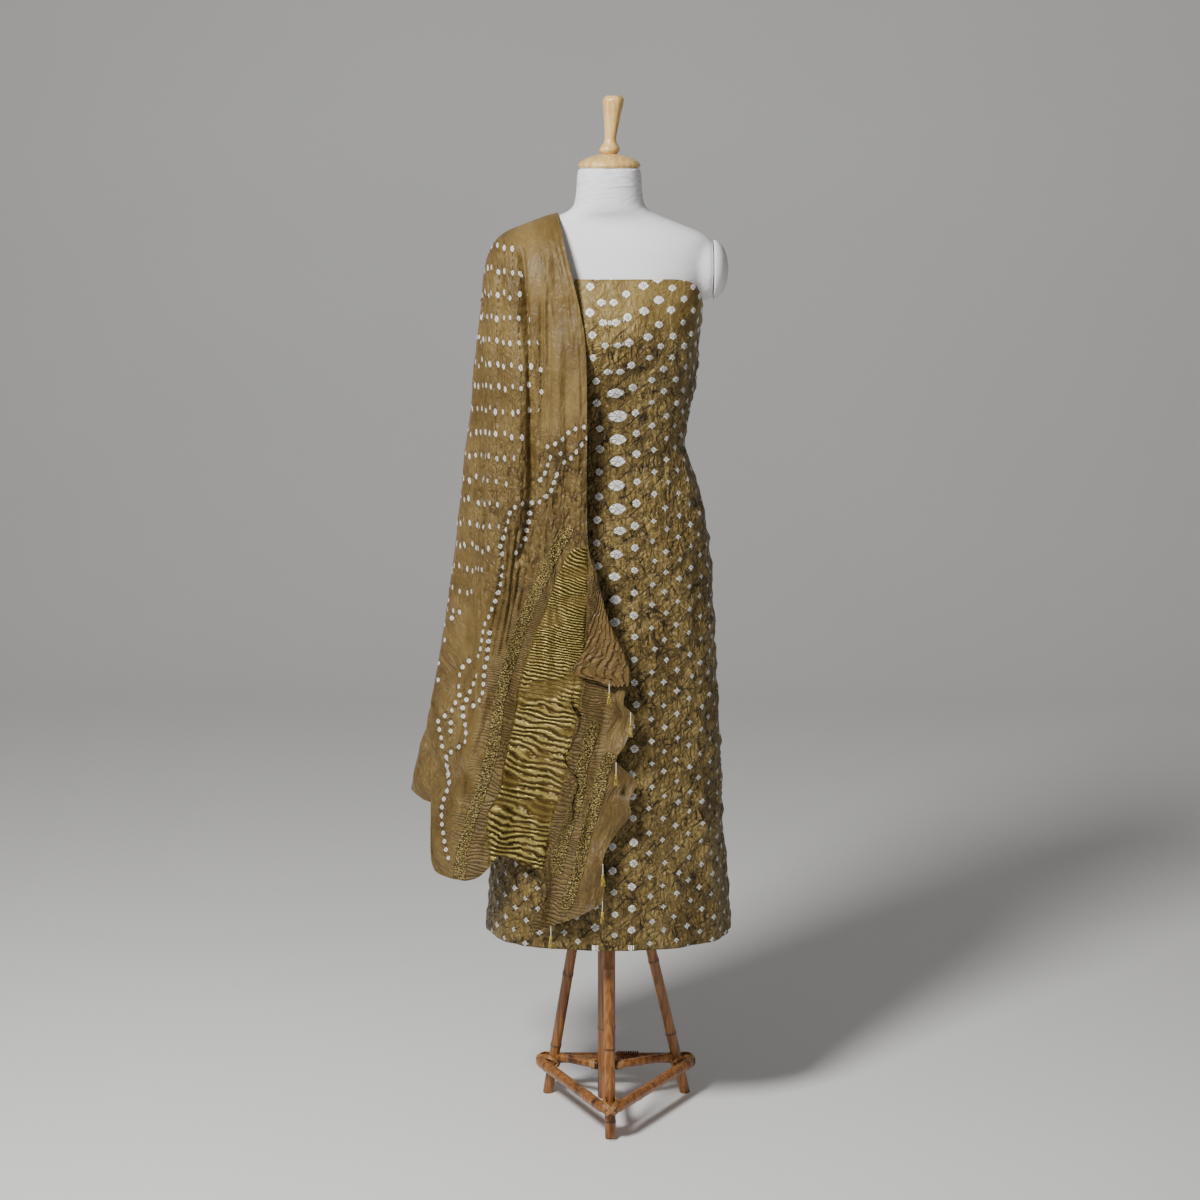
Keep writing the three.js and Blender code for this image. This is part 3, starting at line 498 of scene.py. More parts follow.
class Finish:
    """A material as it is put together from nodes."""

    def __init__(self, name, **sockets):
        self.material = bpy.data.materials.new(name)
        self.material.use_nodes = True
        self.tree = self.material.node_tree
        self.shader = self.tree.nodes["Principled BSDF"]
        for socket, value in sockets.items():
            self.set(socket.replace("_", " "), value)

    def set(self, socket, value):
        self.link(value, self.shader.inputs[socket])

    def link(self, value, socket):
        if isinstance(value, bpy.types.NodeSocket):
            self.tree.links.new(value, socket)
        else:
            socket.default_value = value

    def node(self, kind, inputs, out=0, **settings):
        made = self.tree.nodes.new("ShaderNode" + kind)
        for name, value in settings.items():
            setattr(made, name, value)
        for key, value in inputs.items():
            self.link(value, made.inputs[key])
        return made.outputs[out]

    def maths(self, operation, a, b=0.0, c=0.0):
        return self.node("Math", {0: a, 1: b, 2: c}, operation=operation)

    def times(self, a, b, plus=0.0):
        """The product of two values, and what is added to it."""
        return self.maths("MULTIPLY_ADD", a, b, plus)

    def split(self, name):
        """The three parts of an attribute."""
        return self.node("SeparateXYZ", {0: self.attribute(name, 1)}).node.outputs

    def attribute(self, name, out=2):
        return self.node("Attribute", {}, out, attribute_name=name)

    def place(self):
        return self.node("TexCoord", {}, 3)

    def scaled(self, vector, *scale):
        return self.node("VectorMath", {0: vector, 1: scale}, operation="MULTIPLY")

    def noise(self, vector, detail=2.0, distortion=0.0):
        inputs = {"Vector": vector, "Scale": 1.0, "Detail": detail, "Distortion": distortion}
        return self.node("TexNoise", inputs)

    def ease(self, value, low, high):
        inputs = {"Value": value, "From Min": low, "From Max": high}
        return self.node("MapRange", inputs, interpolation_type="SMOOTHSTEP")

    def mix(self, share, a, b):
        return self.node("Mix", {0: share, 6: a, 7: b}, 2, data_type="RGBA")

    def blend(self, share, a, b):
        return self.node("Mix", {0: share, 2: a, 3: b}, 0, data_type="FLOAT")

    def bump(self, height, distance):
        self.set("Normal", self.node("Bump", {"Height": height, "Distance": distance / METRE}))


# The wrapped cloth's spots stand in slanting rows this far apart, joined by creases that stray and
# carry painted shade
LINK_PITCH = 29.8
LINK_STRAY = 7
# Lean, width and height of the cells between upright, rising and falling creases
CREASE_CELLS = [(-0.1, 9, 30), (1.0, 13, 38), (-0.6, 15, 28)]
CREASE_WANDER = 9
RAYS = 6
RAY_STRAY = 7
# How many fine pleats there are to each of the gold panel's
FINE_PLEATS = 1.7
WHITE = linear(252, 250, 244)
WHITE_MARK = linear(160, 146, 118)
CLOTH_SHEEN = {
    "Sheen_Weight": 0.12,
    "Sheen_Roughness": 0.4,
    "Sheen_Tint": linear(232, 204, 150),
    "Specular_IOR_Level": 0.3,
}


class ClothFinish(Finish):
    """A tie-dyed cloth: a creased ground with white spots tied into it."""

    def __init__(self, name, colours, linked, **sockets):
        super().__init__(name, **CLOTH_SHEEN, **sockets)
        dark, base, light = (linear(*colour) for colour in colours)
        self.cloth = self.attribute("cloth", 1)
        self.gather = self.attribute("gather")
        self.spot = self.split("spot")
        self.reach = self.attribute("spot_near")
        wander = {"Vector": self.scaled(self.cloth, 0.07, 0.07, 1), "Scale": 1.0}
        wander = self.scaled(self.node("TexNoise", wander, 1), CREASE_WANDER, CREASE_WANDER, 0)
        self.loose = self.node("VectorMath", {0: self.cloth, 1: wander}, operation="ADD")
        ragged = self.grain(2.5, 2.5)
        rays = self.maths("ARCTAN2", self.spot[1], self.spot[0])
        rays = self.maths("SINE", self.times(ragged, RAY_STRAY, self.times(rays, RAYS)))
        rays = self.times(rays, 0.5, 0.5)
        upright, rising, falling = (self.creases(*cells) for cells in CREASE_CELLS)
        crossing = self.maths("MINIMUM", rising, falling)
        crushed = self.noise(self.scaled(self.loose, 1 / 9, 1 / 14, 1))
        ridges = self.blend(0.55, upright, crossing)
        ridges = self.times(self.maths("SUBTRACT", crushed, 0.5), 0.7, ridges)
        around = self.ease(self.reach, 3.2, 1.1)
        ridges = self.blend(self.times(around, 0.7), ridges, rays)
        threads = self.scaled(self.cloth, 1.9, 1.9, 1)
        self.height = self.times(self.noise(threads, 1.0), 0.05, self.times(ridges, self.gather))
        # Painted highlight makes the ground lighter on its ridges, and painted shade makes it dark in
        # its sharp valleys
        ground = self.mix(self.ease(self.grain(60, 110, 3.0), 0.32, 0.68), base, light)
        painted_ridge_highlight = self.times(self.ease(ridges, 0.6, 1.0), self.gather)
        ground = self.mix(self.times(painted_ridge_highlight, 0.5), ground, light)
        # The painted shade in the crease valleys is deeper in patches
        valley_shade_patches = self.ease(self.grain(16, 22), 0.42, 0.66)
        valleys = self.ease(self.maths("MINIMUM", upright, crossing), 0.13, 0.0)
        valleys = self.times(valleys, self.times(valley_shade_patches, 0.55, 0.3))
        valleys = self.times(self.ease(ridges, 0.6, 0.05), 0.14, valleys)
        ground = self.mix(self.times(valleys, self.gather), ground, dark)
        # Lines darken the ground and sink into it; on the wrap they are creases linking the spots, and
        # their darkening is painted shade
        drawn, share, rise = self.links() if linked else self.ticks()
        ground = self.mix(self.times(drawn, share), ground, dark)
        self.height = self.times(drawn, rise, self.height)
        # A spot's outline: its two offsets to a power, with a ragged edge
        across, along = (self.maths("ABSOLUTE", self.spot[i]) for i in (0, 1))
        shape = [self.maths("POWER", offset, self.spot[2]) for offset in (across, along)]
        shape = self.times(self.maths("SUBTRACT", ragged, 0.5), 0.5, self.maths("ADD", *shape))
        white = self.times(self.ease(shape, 1.14, 0.94), self.ease(self.reach, 1.36, 1.18))
        marks = self.times(self.ease(rays, 0.42, 0.1), self.ease(ragged, 0.42, 0.6))
        self.colour = self.mix(white, ground, self.mix(marks, WHITE, WHITE_MARK))

    def grain(self, wide, high, detail=2.0):
        """Soft noise in cells of a width and height on the cloth."""
        return self.noise(self.scaled(self.cloth, 1 / wide, 1 / high, 1), detail)

    def creases(self, lean, wide, high):
        """Sharp valleys between soft cells of a width and height, leaning at an angle."""
        turned = self.node("Mapping", {"Vector": self.loose, "Rotation": (0, 0, lean)})
        inputs = {"Vector": self.scaled(turned, 1 / wide, 1 / high, 1), "Scale": 1.0}
        return self.ease(self.node("TexVoronoi", inputs, feature="DISTANCE_TO_EDGE"), 0.0, 0.3)

    def links(self):
        """Creases that rise from spot to spot, how dark their painted shade is and how far they rise.
        """
        lattice = self.times(self.grain(13, 13), LINK_STRAY, self.attribute("lattice"))
        away = self.maths("PINGPONG", lattice, LINK_PITCH / 2)
        shown = self.times(self.ease(self.grain(30, 30), 0.42, 0.56), self.gather)
        return self.times(self.ease(away, 1.9, 0.3), shown), 0.75, -0.5

    def ticks(self):
        """Short drawn lines above and below each spot, how dark they are and how far they rise."""
        across, along = (self.maths("ABSOLUTE", self.spot[i]) for i in (0, 1))
        lines = self.times(self.ease(across, 0.42, 0.1), self.ease(along, 3.3, 1.3))
        return self.times(lines, self.ease(self.noise(self.cloth), 0.3, 0.5)), 0.6, -0.35


def wrap_finish():
    colours = [(40, 27, 9), (114, 93, 49), (153, 130, 78)]
    finish = ClothFinish("wrap_dyed", colours, True, Roughness=0.42)
    finish.set("Base Color", finish.colour)
    finish.bump(finish.height, 4.4)
    return finish.material


def shawl_finish():
    finish = ClothFinish("dupatta_dyed", [(42, 29, 10), (99, 79, 42), (122, 101, 60)], False)
    times, ease, mix = finish.times, finish.ease, finish.mix
    inside_panel, inside_band, reverse = finish.split("zone")
    panel, band = ease(inside_panel, -0.6, 0.6), ease(inside_band, -0.8, 0.8)
    # The end's crosswise pleats: their count runs down the cloth, and their strength across it
    weave = finish.split("weave")
    count = times(finish.grain(24, 16), 1.1, weave[0])

    def pleated(pitch):
        return finish.maths("ABSOLUTE", finish.maths("SINE", times(count, pitch * math.pi)))

    pleats, fine = pleated(1), pleated(FINE_PLEATS)
    # Gold with a painted highlight on its pleats and painted shade in dark lines between them
    glints = finish.grain(2, 1.25, 3.0)
    gold = mix(ease(glints, 0.35, 0.68), linear(76, 59, 23), linear(108, 89, 41))
    painted_pleat_highlight = times(ease(pleats, 0.66, 0.96), ease(glints, 0.36, 0.54))
    gold = mix(times(painted_pleat_highlight, weave[1]), gold, linear(206, 186, 107))
    gold = mix(times(ease(pleats, 0.38, 0.08), weave[1]), gold, linear(38, 27, 8))
    colour = mix(panel, finish.colour, gold)
    # The turned-back corner's faded reverse, and puckers beside the panel with painted shade in their
    # valleys
    colour = mix(reverse, colour, mix(ease(glints, 0.3, 0.7), linear(98, 76, 42), linear(119, 96, 56)))
    puckers = times(ease(fine, 0.4, 0.05), weave[2])
    colour = mix(times(puckers, 0.85), colour, linear(50, 36, 14))
    # Woven bands: small lumps with light and dark threads, darker still where the lumps sink
    lumps = finish.noise(finish.scaled(finish.cloth, 0.3, 0.34, 1), 1.0)
    specks = finish.noise(finish.scaled(finish.cloth, 0.34, 1, 1), 1.0)
    woven = mix(ease(specks, 0.5, 0.6), linear(78, 60, 25), linear(198, 177, 107))
    woven = mix(ease(lumps, 0.5, 0.38), woven, linear(44, 32, 12))
    finish.set("Base Color", mix(times(band, 0.95), colour, woven))
    metal = finish.maths("MAXIMUM", panel, times(band, 0.6))
    finish.set("Metallic", times(metal, 0.4))
    finish.set("Roughness", finish.blend(metal, 0.48, 0.32))
    height = times(times(pleats, weave[1]), 0.9, finish.height)
    height = times(times(fine, weave[2]), 0.6, height)
    finish.bump(times(times(lumps, band), 1.1, height), 3.8)
    return finish.material


def cover_finish():
    finish = Finish("form_cover", Roughness=0.85)
    place = finish.place()
    soft = finish.noise(finish.scaled(place, 6, 6, 6), 3.0)
    colour = finish.mix(soft, linear(222, 219, 220), linear(238, 236, 236))
    finish.set("Base Color", colour)
    weave = finish.noise(finish.scaled(place, 1400, 1400, 1400), 1.0)
    wrinkles = finish.noise(finish.scaled(place, 24, 24, 70), 2.0, 1.2)
    high = finish.ease(finish.node("SeparateXYZ", {0: place}, 2), 1.57, 1.64)
    wrinkles = finish.maths("MULTIPLY", wrinkles, finish.blend(high, 0.25, 1.6))
    finish.bump(finish.maths("MULTIPLY_ADD", weave, 0.06, wrinkles), 3.0)
    return finish.material


def wood_finish():
    finish = Finish("turned_maple", Roughness=0.36, Coat_Weight=0.3, Coat_Roughness=0.2)
    place = finish.place()
    grain = finish.noise(finish.scaled(place, 160, 160, 9), 3.0, 0.8)
    pores = finish.noise(finish.scaled(place, 900, 900, 60), 2.0)
    colour = finish.mix(finish.ease(grain, 0.35, 0.68), linear(202, 160, 92), linear(230, 194, 126))
    colour = finish.mix(finish.ease(pores, 0.62, 0.75), colour, linear(170, 124, 64))
    finish.set("Base Color", colour)
    finish.bump(pores, 0.15)
    return finish.material


def cane_finish(name="cane_poles", dark=(64, 37, 17), base=(122, 74, 34), light=(166, 112, 58)):
    finish = Finish(name, Roughness=0.42, Coat_Weight=0.25, Coat_Roughness=0.25)
    place = finish.place()
    streaks = finish.noise(finish.scaled(place, 190, 190, 10), 4.0, 0.3)
    patches = finish.noise(finish.scaled(place, 40, 40, 9), 3.0, 0.5)
    colour = finish.mix(finish.ease(streaks, 0.35, 0.7), linear(*base), linear(*light))
    colour = finish.mix(finish.ease(patches, 0.54, 0.76), colour, linear(*dark))
    joint = finish.attribute("joint")
    colour = finish.mix(joint, colour, linear(58, 36, 18))
    finish.set("Base Color", colour)
    finish.bump(streaks, 0.5)
    return finish.material


def strand_finish(name, low, high, roughness, metallic=0.0):
    finish = Finish(name, Roughness=roughness, Metallic=metallic)
    place = finish.place()
    twist = finish.noise(finish.scaled(place, 500, 500, 160), 2.0)
    finish.set("Base Color", finish.mix(finish.ease(twist, 0.35, 0.65), linear(*low), linear(*high)))
    finish.bump(twist, 0.3)
    return finish.material


# Spots tied into the cloths


def nearest_spots(across, up, spots):
    """Offset from each place to its nearest spot, in spot sizes, and the distance in millimetres."""
    tree = kdtree.KDTree(len(spots))
    for i, (right, high, *_) in enumerate(spots):
        tree.insert((right, high, 0), i)
    tree.balance()
    found = spots[[tree.find((a, b, 0))[1] for a, b in zip(across, up)]]
    offsets = np.stack([across, up], -1) - found[:, :2]
    return offsets / found[:, 2:4], np.linalg.norm(offsets, axis=1), found[:, 4]


def tie_relief(distance, height, width):
    """How far the cloth stands out round a tie at a distance from it."""
    return height * np.exp(-distance / width)


# Wrapped cloth

# Spots stand in columns side by side round the cloth, every other column half a step lower
SPOT_PITCH = 38.6
SPOT_TOP = 1438.6
FIRST_COLUMNS = [0, 31, 62]
SPOT_COLUMN = 23.5
LAST_SPOT_COLUMN = 22
# The top row is cut by the cloth's upper edge
TOP_ROW = -0.88
# How far right of the middle the columns run, and how big and how pointed their spots are
SPOT_SHIFT = Table("height shift", (335, 8), (950, 11), (1210, 14), (1440, -4))
SPOT_SIZES = Table(
    "height wide high power",
    (335, 5.8, 5.2, 0.8), (1000, 5.8, 5.2, 0.8), (1200, 6.2, 4.8, 0.95), (1330, 7.4, 5.4, 1.3),
    (1471, 7.8, 5.8, 1.5),
)
MIDDLE_SIZES = Table(
    "height wide high",
    (335, 6, 5.6), (840, 7, 6.6), (960, 9.5, 6.8), (1100, 12, 8), (1210, 15, 9.6), (1290, 13, 7.5),
    (1330, 6.4, 5.4),
)
PAIR_HEIGHT = 1300
PAIR_APART = 20.6
SKIRT_SLANT = 0.12
SKIRT_SLANT_REACH = 160


def skirt_slant(across, z):
    """How much higher the skirt's rows stand towards the right."""
    low = 1 - smoothstep(z, 850, 1150)
    return SKIRT_SLANT * np.clip(across, -SKIRT_SLANT_REACH, SKIRT_SLANT_REACH) * low


def wrap_spots():
    rng = np.random.default_rng(11)
    found = []
    for column in range(-LAST_SPOT_COLUMN, LAST_SPOT_COLUMN + 1):
        count = abs(column)
        away = FIRST_COLUMNS[min(count, 2)] + SPOT_COLUMN * max(0, count - 2)
        half = 0.5 if (column > 1) == (column % 2 == 0) else 0
        half = {0: 0, 1: 0.8}.get(column, half)
        for row in range(-1, 30):
            z = SPOT_TOP - max(row + half, TOP_ROW) * SPOT_PITCH + rng.normal(0, 1.8)
            s = math.copysign(away, column) + float(SPOT_SHIFT("shift", z)) + rng.normal(0, 1.6)
            z += float(skirt_slant(s, z))
            table = MIDDLE_SIZES if column == 0 else SPOT_SIZES
            factor = rng.uniform(0.85, 1.15)
            size = [float(table(name, z)) * factor for name in ("wide", "high")]
            power = 1.5 if count < 2 else float(SPOT_SIZES("power", z))
            if count == 1:
                size = [6.4 * factor, 6.0 * factor]
            pair = column == 0 and z > PAIR_HEIGHT
            for step in (-PAIR_APART / 2, PAIR_APART / 2) if pair else (0,):
                found.append((s + step, z, *size, power))
    return np.array(found)


# Creases of the wrapped cloth: width, rise and the places in the picture that they run through
WRAP_CREASES = [
    (7, -4.5, (640, 766), (668, 757), (700, 750)),
    (6, 2.5, (650, 778), (680, 770), (706, 765)),
    (6, -4, (672, 452), (686, 444), (700, 432)),
    (8, -3, (640, 520), (676, 508), (704, 500)),
    (8, -3, (612, 470), (640, 482), (668, 500)),
    (7, -2.5, (606, 432), (636, 418), (664, 402)),
    (8, -4, (600, 940), (610, 936), (632, 944), (640, 952)),
    (9, -4, (618, 850), (614, 900), (612, 950)),
    (12, -4, (662, 820), (668, 880), (676, 935)),
    (11, 4, (700, 790), (708, 850), (714, 925)),
    (10, -4, (540, 880), (545, 940)),
]


def line_distance(columns, rows, line):
    """Distance in picture steps from places to a line through picture points."""
    best = np.full(columns.shape, 1e9)
    for (ax, ay), (bx, by) in zip(line, line[1:]):
        dx, dy = bx - ax, by - ay
        along = np.clip(((columns - ax) * dx + (rows - ay) * dy) / (dx * dx + dy * dy), 0, 1)
        best = np.minimum(best, np.hypot(columns - ax - along * dx, rows - ay - along * dy))
    return best


PICTURE_STEP = 1.65


def crease_rise(columns, rows, creases, shows):
    """Soft troughs and ridges along given lines, on the side that the picture shows."""
    rise = np.zeros(columns.shape)
    for width, height, *line in creases:
        away = line_distance(columns, rows, line) * PICTURE_STEP
        rise += height * bump(away, width)
    return rise * shows


def make_wrap():
    rises = np.linspace(0, 1, WRAP_ROWS + 1)
    share, rise = np.meshgrid(np.linspace(0, 1, WRAP_COLUMNS + 1), rises)
    points, angle = wrap_points(share, rise)
    normals = grid_normals(points)
    z = points[..., 2]
    # Place on the cloth, along its width from the middle of the front, and its height
    steps = np.linalg.norm(np.diff(points, axis=1), axis=-1)
    girth = np.concatenate([np.zeros((len(rises), 1)), np.cumsum(steps, 1)], 1)
    middle = (FULL_TURN - math.pi) / (FULL_TURN + LAP_ANGLE) * WRAP_COLUMNS
    low = int(middle)
    girth -= lerp(girth[:, low], girth[:, low + 1], middle - low)[:, None]
    up = z.ravel()
    offsets, distance, power = nearest_spots(girth.ravel(), up, wrap_spots())
    distance = distance.reshape(z.shape)
    gather = 0.3 + 0.7 * (1 - smoothstep(z, 1350, 1430))
    relief = tie_relief(distance, 3.6, 6.0) - 0.9
    # Crossing slanted wrinkles, upright ones, and folds across the bodice and the waist
    for depth, slant, seed in ((2.6, z, 3), (2.2, -z, 4)):
        relief += depth * noise((girth + slant) / 21, (girth - slant) / 46, seed) * gather
    relief += 1.6 * noise(girth / 24, z / 90, 5)
    folds = 1 - 2 * np.abs(noise(girth / 70, (z - 0.28 * girth) / 15, 7))
    relief += 1.6 * bump(z - BODICE_HEIGHT, 120) * folds
    waist = bump(z - WAIST_HEIGHT, 90)
    relief += 1.8 * waist * noise(girth / 40, z / 13, 6)
    columns, rows = in_picture(points)
    relief += crease_rise(columns, rows, WRAP_CREASES, normals[..., 1] < 0)
    # The cloth lies close on the form at the top edge and the waist
    snug = np.maximum(smoothstep(z, 1395, 1465), 0.7 * waist)
    relief = np.maximum(relief, -2.5) * (1 - 0.75 * snug)
    outer = points + normals * (relief - HALF_CLOTH)[..., None]
    # A narrow hem is turned in at the lower and the top edge
    turned = []
    for edge, way in ((0, 1), (-1, -1)):
        rim = outer[edge] - normals[edge] * HEM_ROUND
        inner = rim - normals[edge] * HEM_SLOPE + np.array([0, 0, HEM_DEPTH * way])
        turned.append((rim, inner))
    (low_rim, low_inner), (top_rim, top_inner) = turned
    sheet = np.concatenate([[low_inner, low_rim], outer, [top_rim, top_inner]])
    index = np.arange(sheet.shape[0] * sheet.shape[1]).reshape(sheet.shape[:2])
    piece = add_mesh("wrap", sheet.reshape(-1, 3), grid_faces(index))

    def padded(values):
        """Values for the cloth's places, with those of its edges for the two turned-in rows."""
        shaped = values.reshape(z.shape + values.shape[1:])
        whole = np.concatenate([shaped[:1], shaped[:1], shaped, shaped[-1:], shaped[-1:]])
        return whole.reshape(-1, *whole.shape[2:])

    # Slanting rows: the count of the row that a place lies on, as a distance
    level = z - skirt_slant(girth, z)
    across = girth - SPOT_SHIFT("shift", z)
    first = np.where(across > 0, FIRST_COLUMNS[2], -FIRST_COLUMNS[2])
    lattice = (level - SPOT_TOP) / SPOT_PITCH - (across - first) / (2 * SPOT_COLUMN)
    lattice = (lattice + np.where(across > 0, 0.5, 0) + 100) * LINK_PITCH - LINK_STRAY / 2
    spot = np.concatenate([offsets, power[:, None]], 1)
    add_ties(piece, padded(girth.ravel()), padded(up), padded(spot), padded(gather.ravel()))
    add_attribute(piece, "lattice", padded(lattice.ravel()))
    return finish_piece(piece, wrap_finish(), "wrap_cloth", "wrap_cloth")


# Shawl

# The pleated gold panel: its left and right edge at rows of the picture, and how its pleats slope
PANEL = Table(
    "row left right slope",
    (545, 584, 588, 1.2), (551, 571, 588, 1.15), (576, 557, 588, 1.0), (598, 549, 588, 0.85),
    (635, 534, 586, 0.6), (663, 524, 586, 0.42), (681, 519, 584, 0.34), (713, 515, 579, 0.28),
    (748, 508, 571, 0.25), (794, 498, 561, 0.25), (816, 487, 553, 0.25), (867, 489, 546, 0.22),
)
PLEAT_PITCH = 6.4
FAR_OUTSIDE = -50.0
NO_SPOT = (9.0, 9.0, 1.0)
UNTIED_AWAY = 50
# Woven bands beside the panel, as lines through picture points
BANDS = [
    [(568, 529), (553, 556), (531, 603), (520, 630), (511, 658), (505, 679), (498, 703)],
    [(498, 703), (495, 740), (486, 774), (478, 800), (470, 820), (462, 850), (458, 884)],
    [(594, 728), (582, 766), (580, 790), (572, 815), (562, 841), (557, 870)],
    [(609, 758), (602, 777), (600, 790), (594, 809), (584, 842), (578, 870), (566, 905)],
]
BAND_HALF_WIDTH = 6.2
# Trails of spots round the knot figures, as lines through picture points
TRAILS = [
    [(584, 427), (571, 430), (560, 442), (541, 449)],
    [(587, 438), (577, 451), (568, 462), (558, 463)],
    [(551, 457), (545, 473), (539, 481)],
    [(557, 474), (551, 492), (538, 503), (519, 504), (510, 511), (505, 530), (499, 549), (503, 559)],
    [(503, 559), (499, 587), (495, 602), (488, 618), (482, 626), (478, 655), (464, 664), (458, 678)],
    [(458, 678), (460, 695), (451, 711), (438, 722), (443, 743), (442, 750)],
    [(489, 633), (487, 647), (484, 675), (482, 698), (468, 710)],
    [(475, 676), (468, 692), (461, 710), (465, 730), (464, 742), (455, 749), (445, 756)],
    [(450, 714), (451, 730), (446, 739)],
    [(446, 757), (448, 772), (449, 784), (446, 794), (442, 803), (441, 815), (443, 830), (445, 848),
     (450, 864)],
    [(555, 447), (561, 454), (558, 463)],
    [(529, 514), (528, 524), (526, 534), (525, 543), (519, 549), (514, 557)],
]
TRAIL_PITCH = 8.6
TRAIL_APART = 6.6
EDGE_SPOTS = [(451, 572), (448, 600), (452, 618), (444, 625), (445, 640), (439, 663), (439, 680)]
# The spotted field: its right edge at rows of the picture
FIELD = Table(
    "row right",
    (216, 500), (247, 511), (293, 523), (341, 536), (366, 543), (414, 535), (438, 523), (484, 505),
    (530, 496), (573, 482), (620, 452),
)
SHAWL_SPOT_TOP = 1523
SHAWL_SPOT_COLUMN = Table("height width", (900, 19), (1200, 17.8), (1450, 15.6), (1580, 15))
SHAWL_SPOT = (2.9, 4.9, 1.5)
TRAIL_SPOT = (2.9, 4.0, 1.4)
BACK_FIELD_LOW = 720
# How far from the outer fold the back's places on the cloth settle to an even start
BACK_SETTLE = 260

# The shawl's creases, in the same way
SHAWL_CREASES = [
    (5, -11, (521, 250), (527, 345), (531, 400), (532, 480), (529, 520), (519, 562)),
    (3.2, -3, (541, 300), (542, 380), (541, 450), (540, 500)),
    (3.4, -3, (548, 290), (549, 380), (547, 440), (549, 520)),
    (3, 2.4, (545, 300), (545, 380), (544, 450)),
    (8, -2.4, (563, 280), (566, 330), (566, 430), (568, 500)),
    (2.8, -2.4, (556, 216), (566, 262), (575, 300), (580, 350), (582, 410)),
    (3, 1.8, (548, 222), (558, 262), (567, 300), (573, 350)),
    (3, -1.8, (537, 228), (546, 275), (556, 320)),
    (5, 2.2, (578, 300), (580, 400), (581, 500)),
    (7, 3, (516, 300), (517, 380), (520, 460), (516, 540)),
    (7, -4, (500, 260), (497, 340), (499, 420), (502, 500)),
    (8, -4, (484, 300), (478, 380), (477, 460), (480, 520)),
    (3.4, -6.5, (505, 518), (498, 600), (486, 660)),
    (3.2, -5, (511, 532), (504, 600), (493, 656)),
    (3.4, -7, (518, 530), (510, 600), (500, 655)),
    (3.2, -5, (525, 545), (517, 596), (507, 645)),
    (3.2, -5, (535, 520), (529, 560), (520, 610)),
    (3.2, -4, (546, 500), (541, 540), (530, 590)),
    (8, -5, (492, 560), (480, 630), (466, 700), (456, 770)),
    (8, -4, (470, 540), (464, 610), (452, 690)),
    (7, -4, (496, 690), (478, 745), (462, 800)),
    (6, 3.5, (486, 700), (470, 760), (455, 830)),
    (6, -3, (606, 700), (598, 760), (590, 820), (578, 880)),
]


def spread_out(places, apart):
    """Leaves out each place that lies closer than a distance to one kept before it."""
    kept = []
    for place in places:
        if all(np.linalg.norm(place - other) >= apart for other in kept):
            kept.append(place)
    return np.array(kept)


def line_points(line, pitch):
    """Points at even steps along a line."""
    line = np.array(line, float)
    lengths = np.concatenate([[0], np.cumsum(np.linalg.norm(np.diff(line, axis=0), axis=1))])
    at = np.arange(0, lengths[-1], pitch)
    return np.stack([np.interp(at, lengths, line[:, i]) for i in (0, 1)], -1)


def panel_relief(columns, rows, height):
    """How far inside the gold panel a place is, its crosswise pleats' count and their strength."""
    left, right, slope = (PANEL(name, rows) for name in ("left", "right", "slope"))
    inside = np.minimum(columns - left, right - columns) * PICTURE_STEP
    inside = np.where((rows > 545) & (rows < 870) & (height < 1030), inside, FAR_OUTSIDE)
    middle = (left + right) / 2
    wobble = noise(columns / 21, rows / 11, 21) * 3.6
    count = (rows - slope * (columns - middle) + wobble) * np.cos(np.arctan(slope)) / PLEAT_PITCH
    flat = smoothstep(noise(columns / 34, rows / 12, 23), 0.3, 0.6)
    strength = (1 - 0.7 * flat) * (0.8 + 0.2 * noise(columns / 12, rows / 9, 24))
    beside = np.maximum(left - columns, columns - right) * PICTURE_STEP
    puckers = (1 - smoothstep(beside, 20, 75)) * smoothstep(rows, 540, 640) * (inside < 0)
    return inside, count, strength, puckers


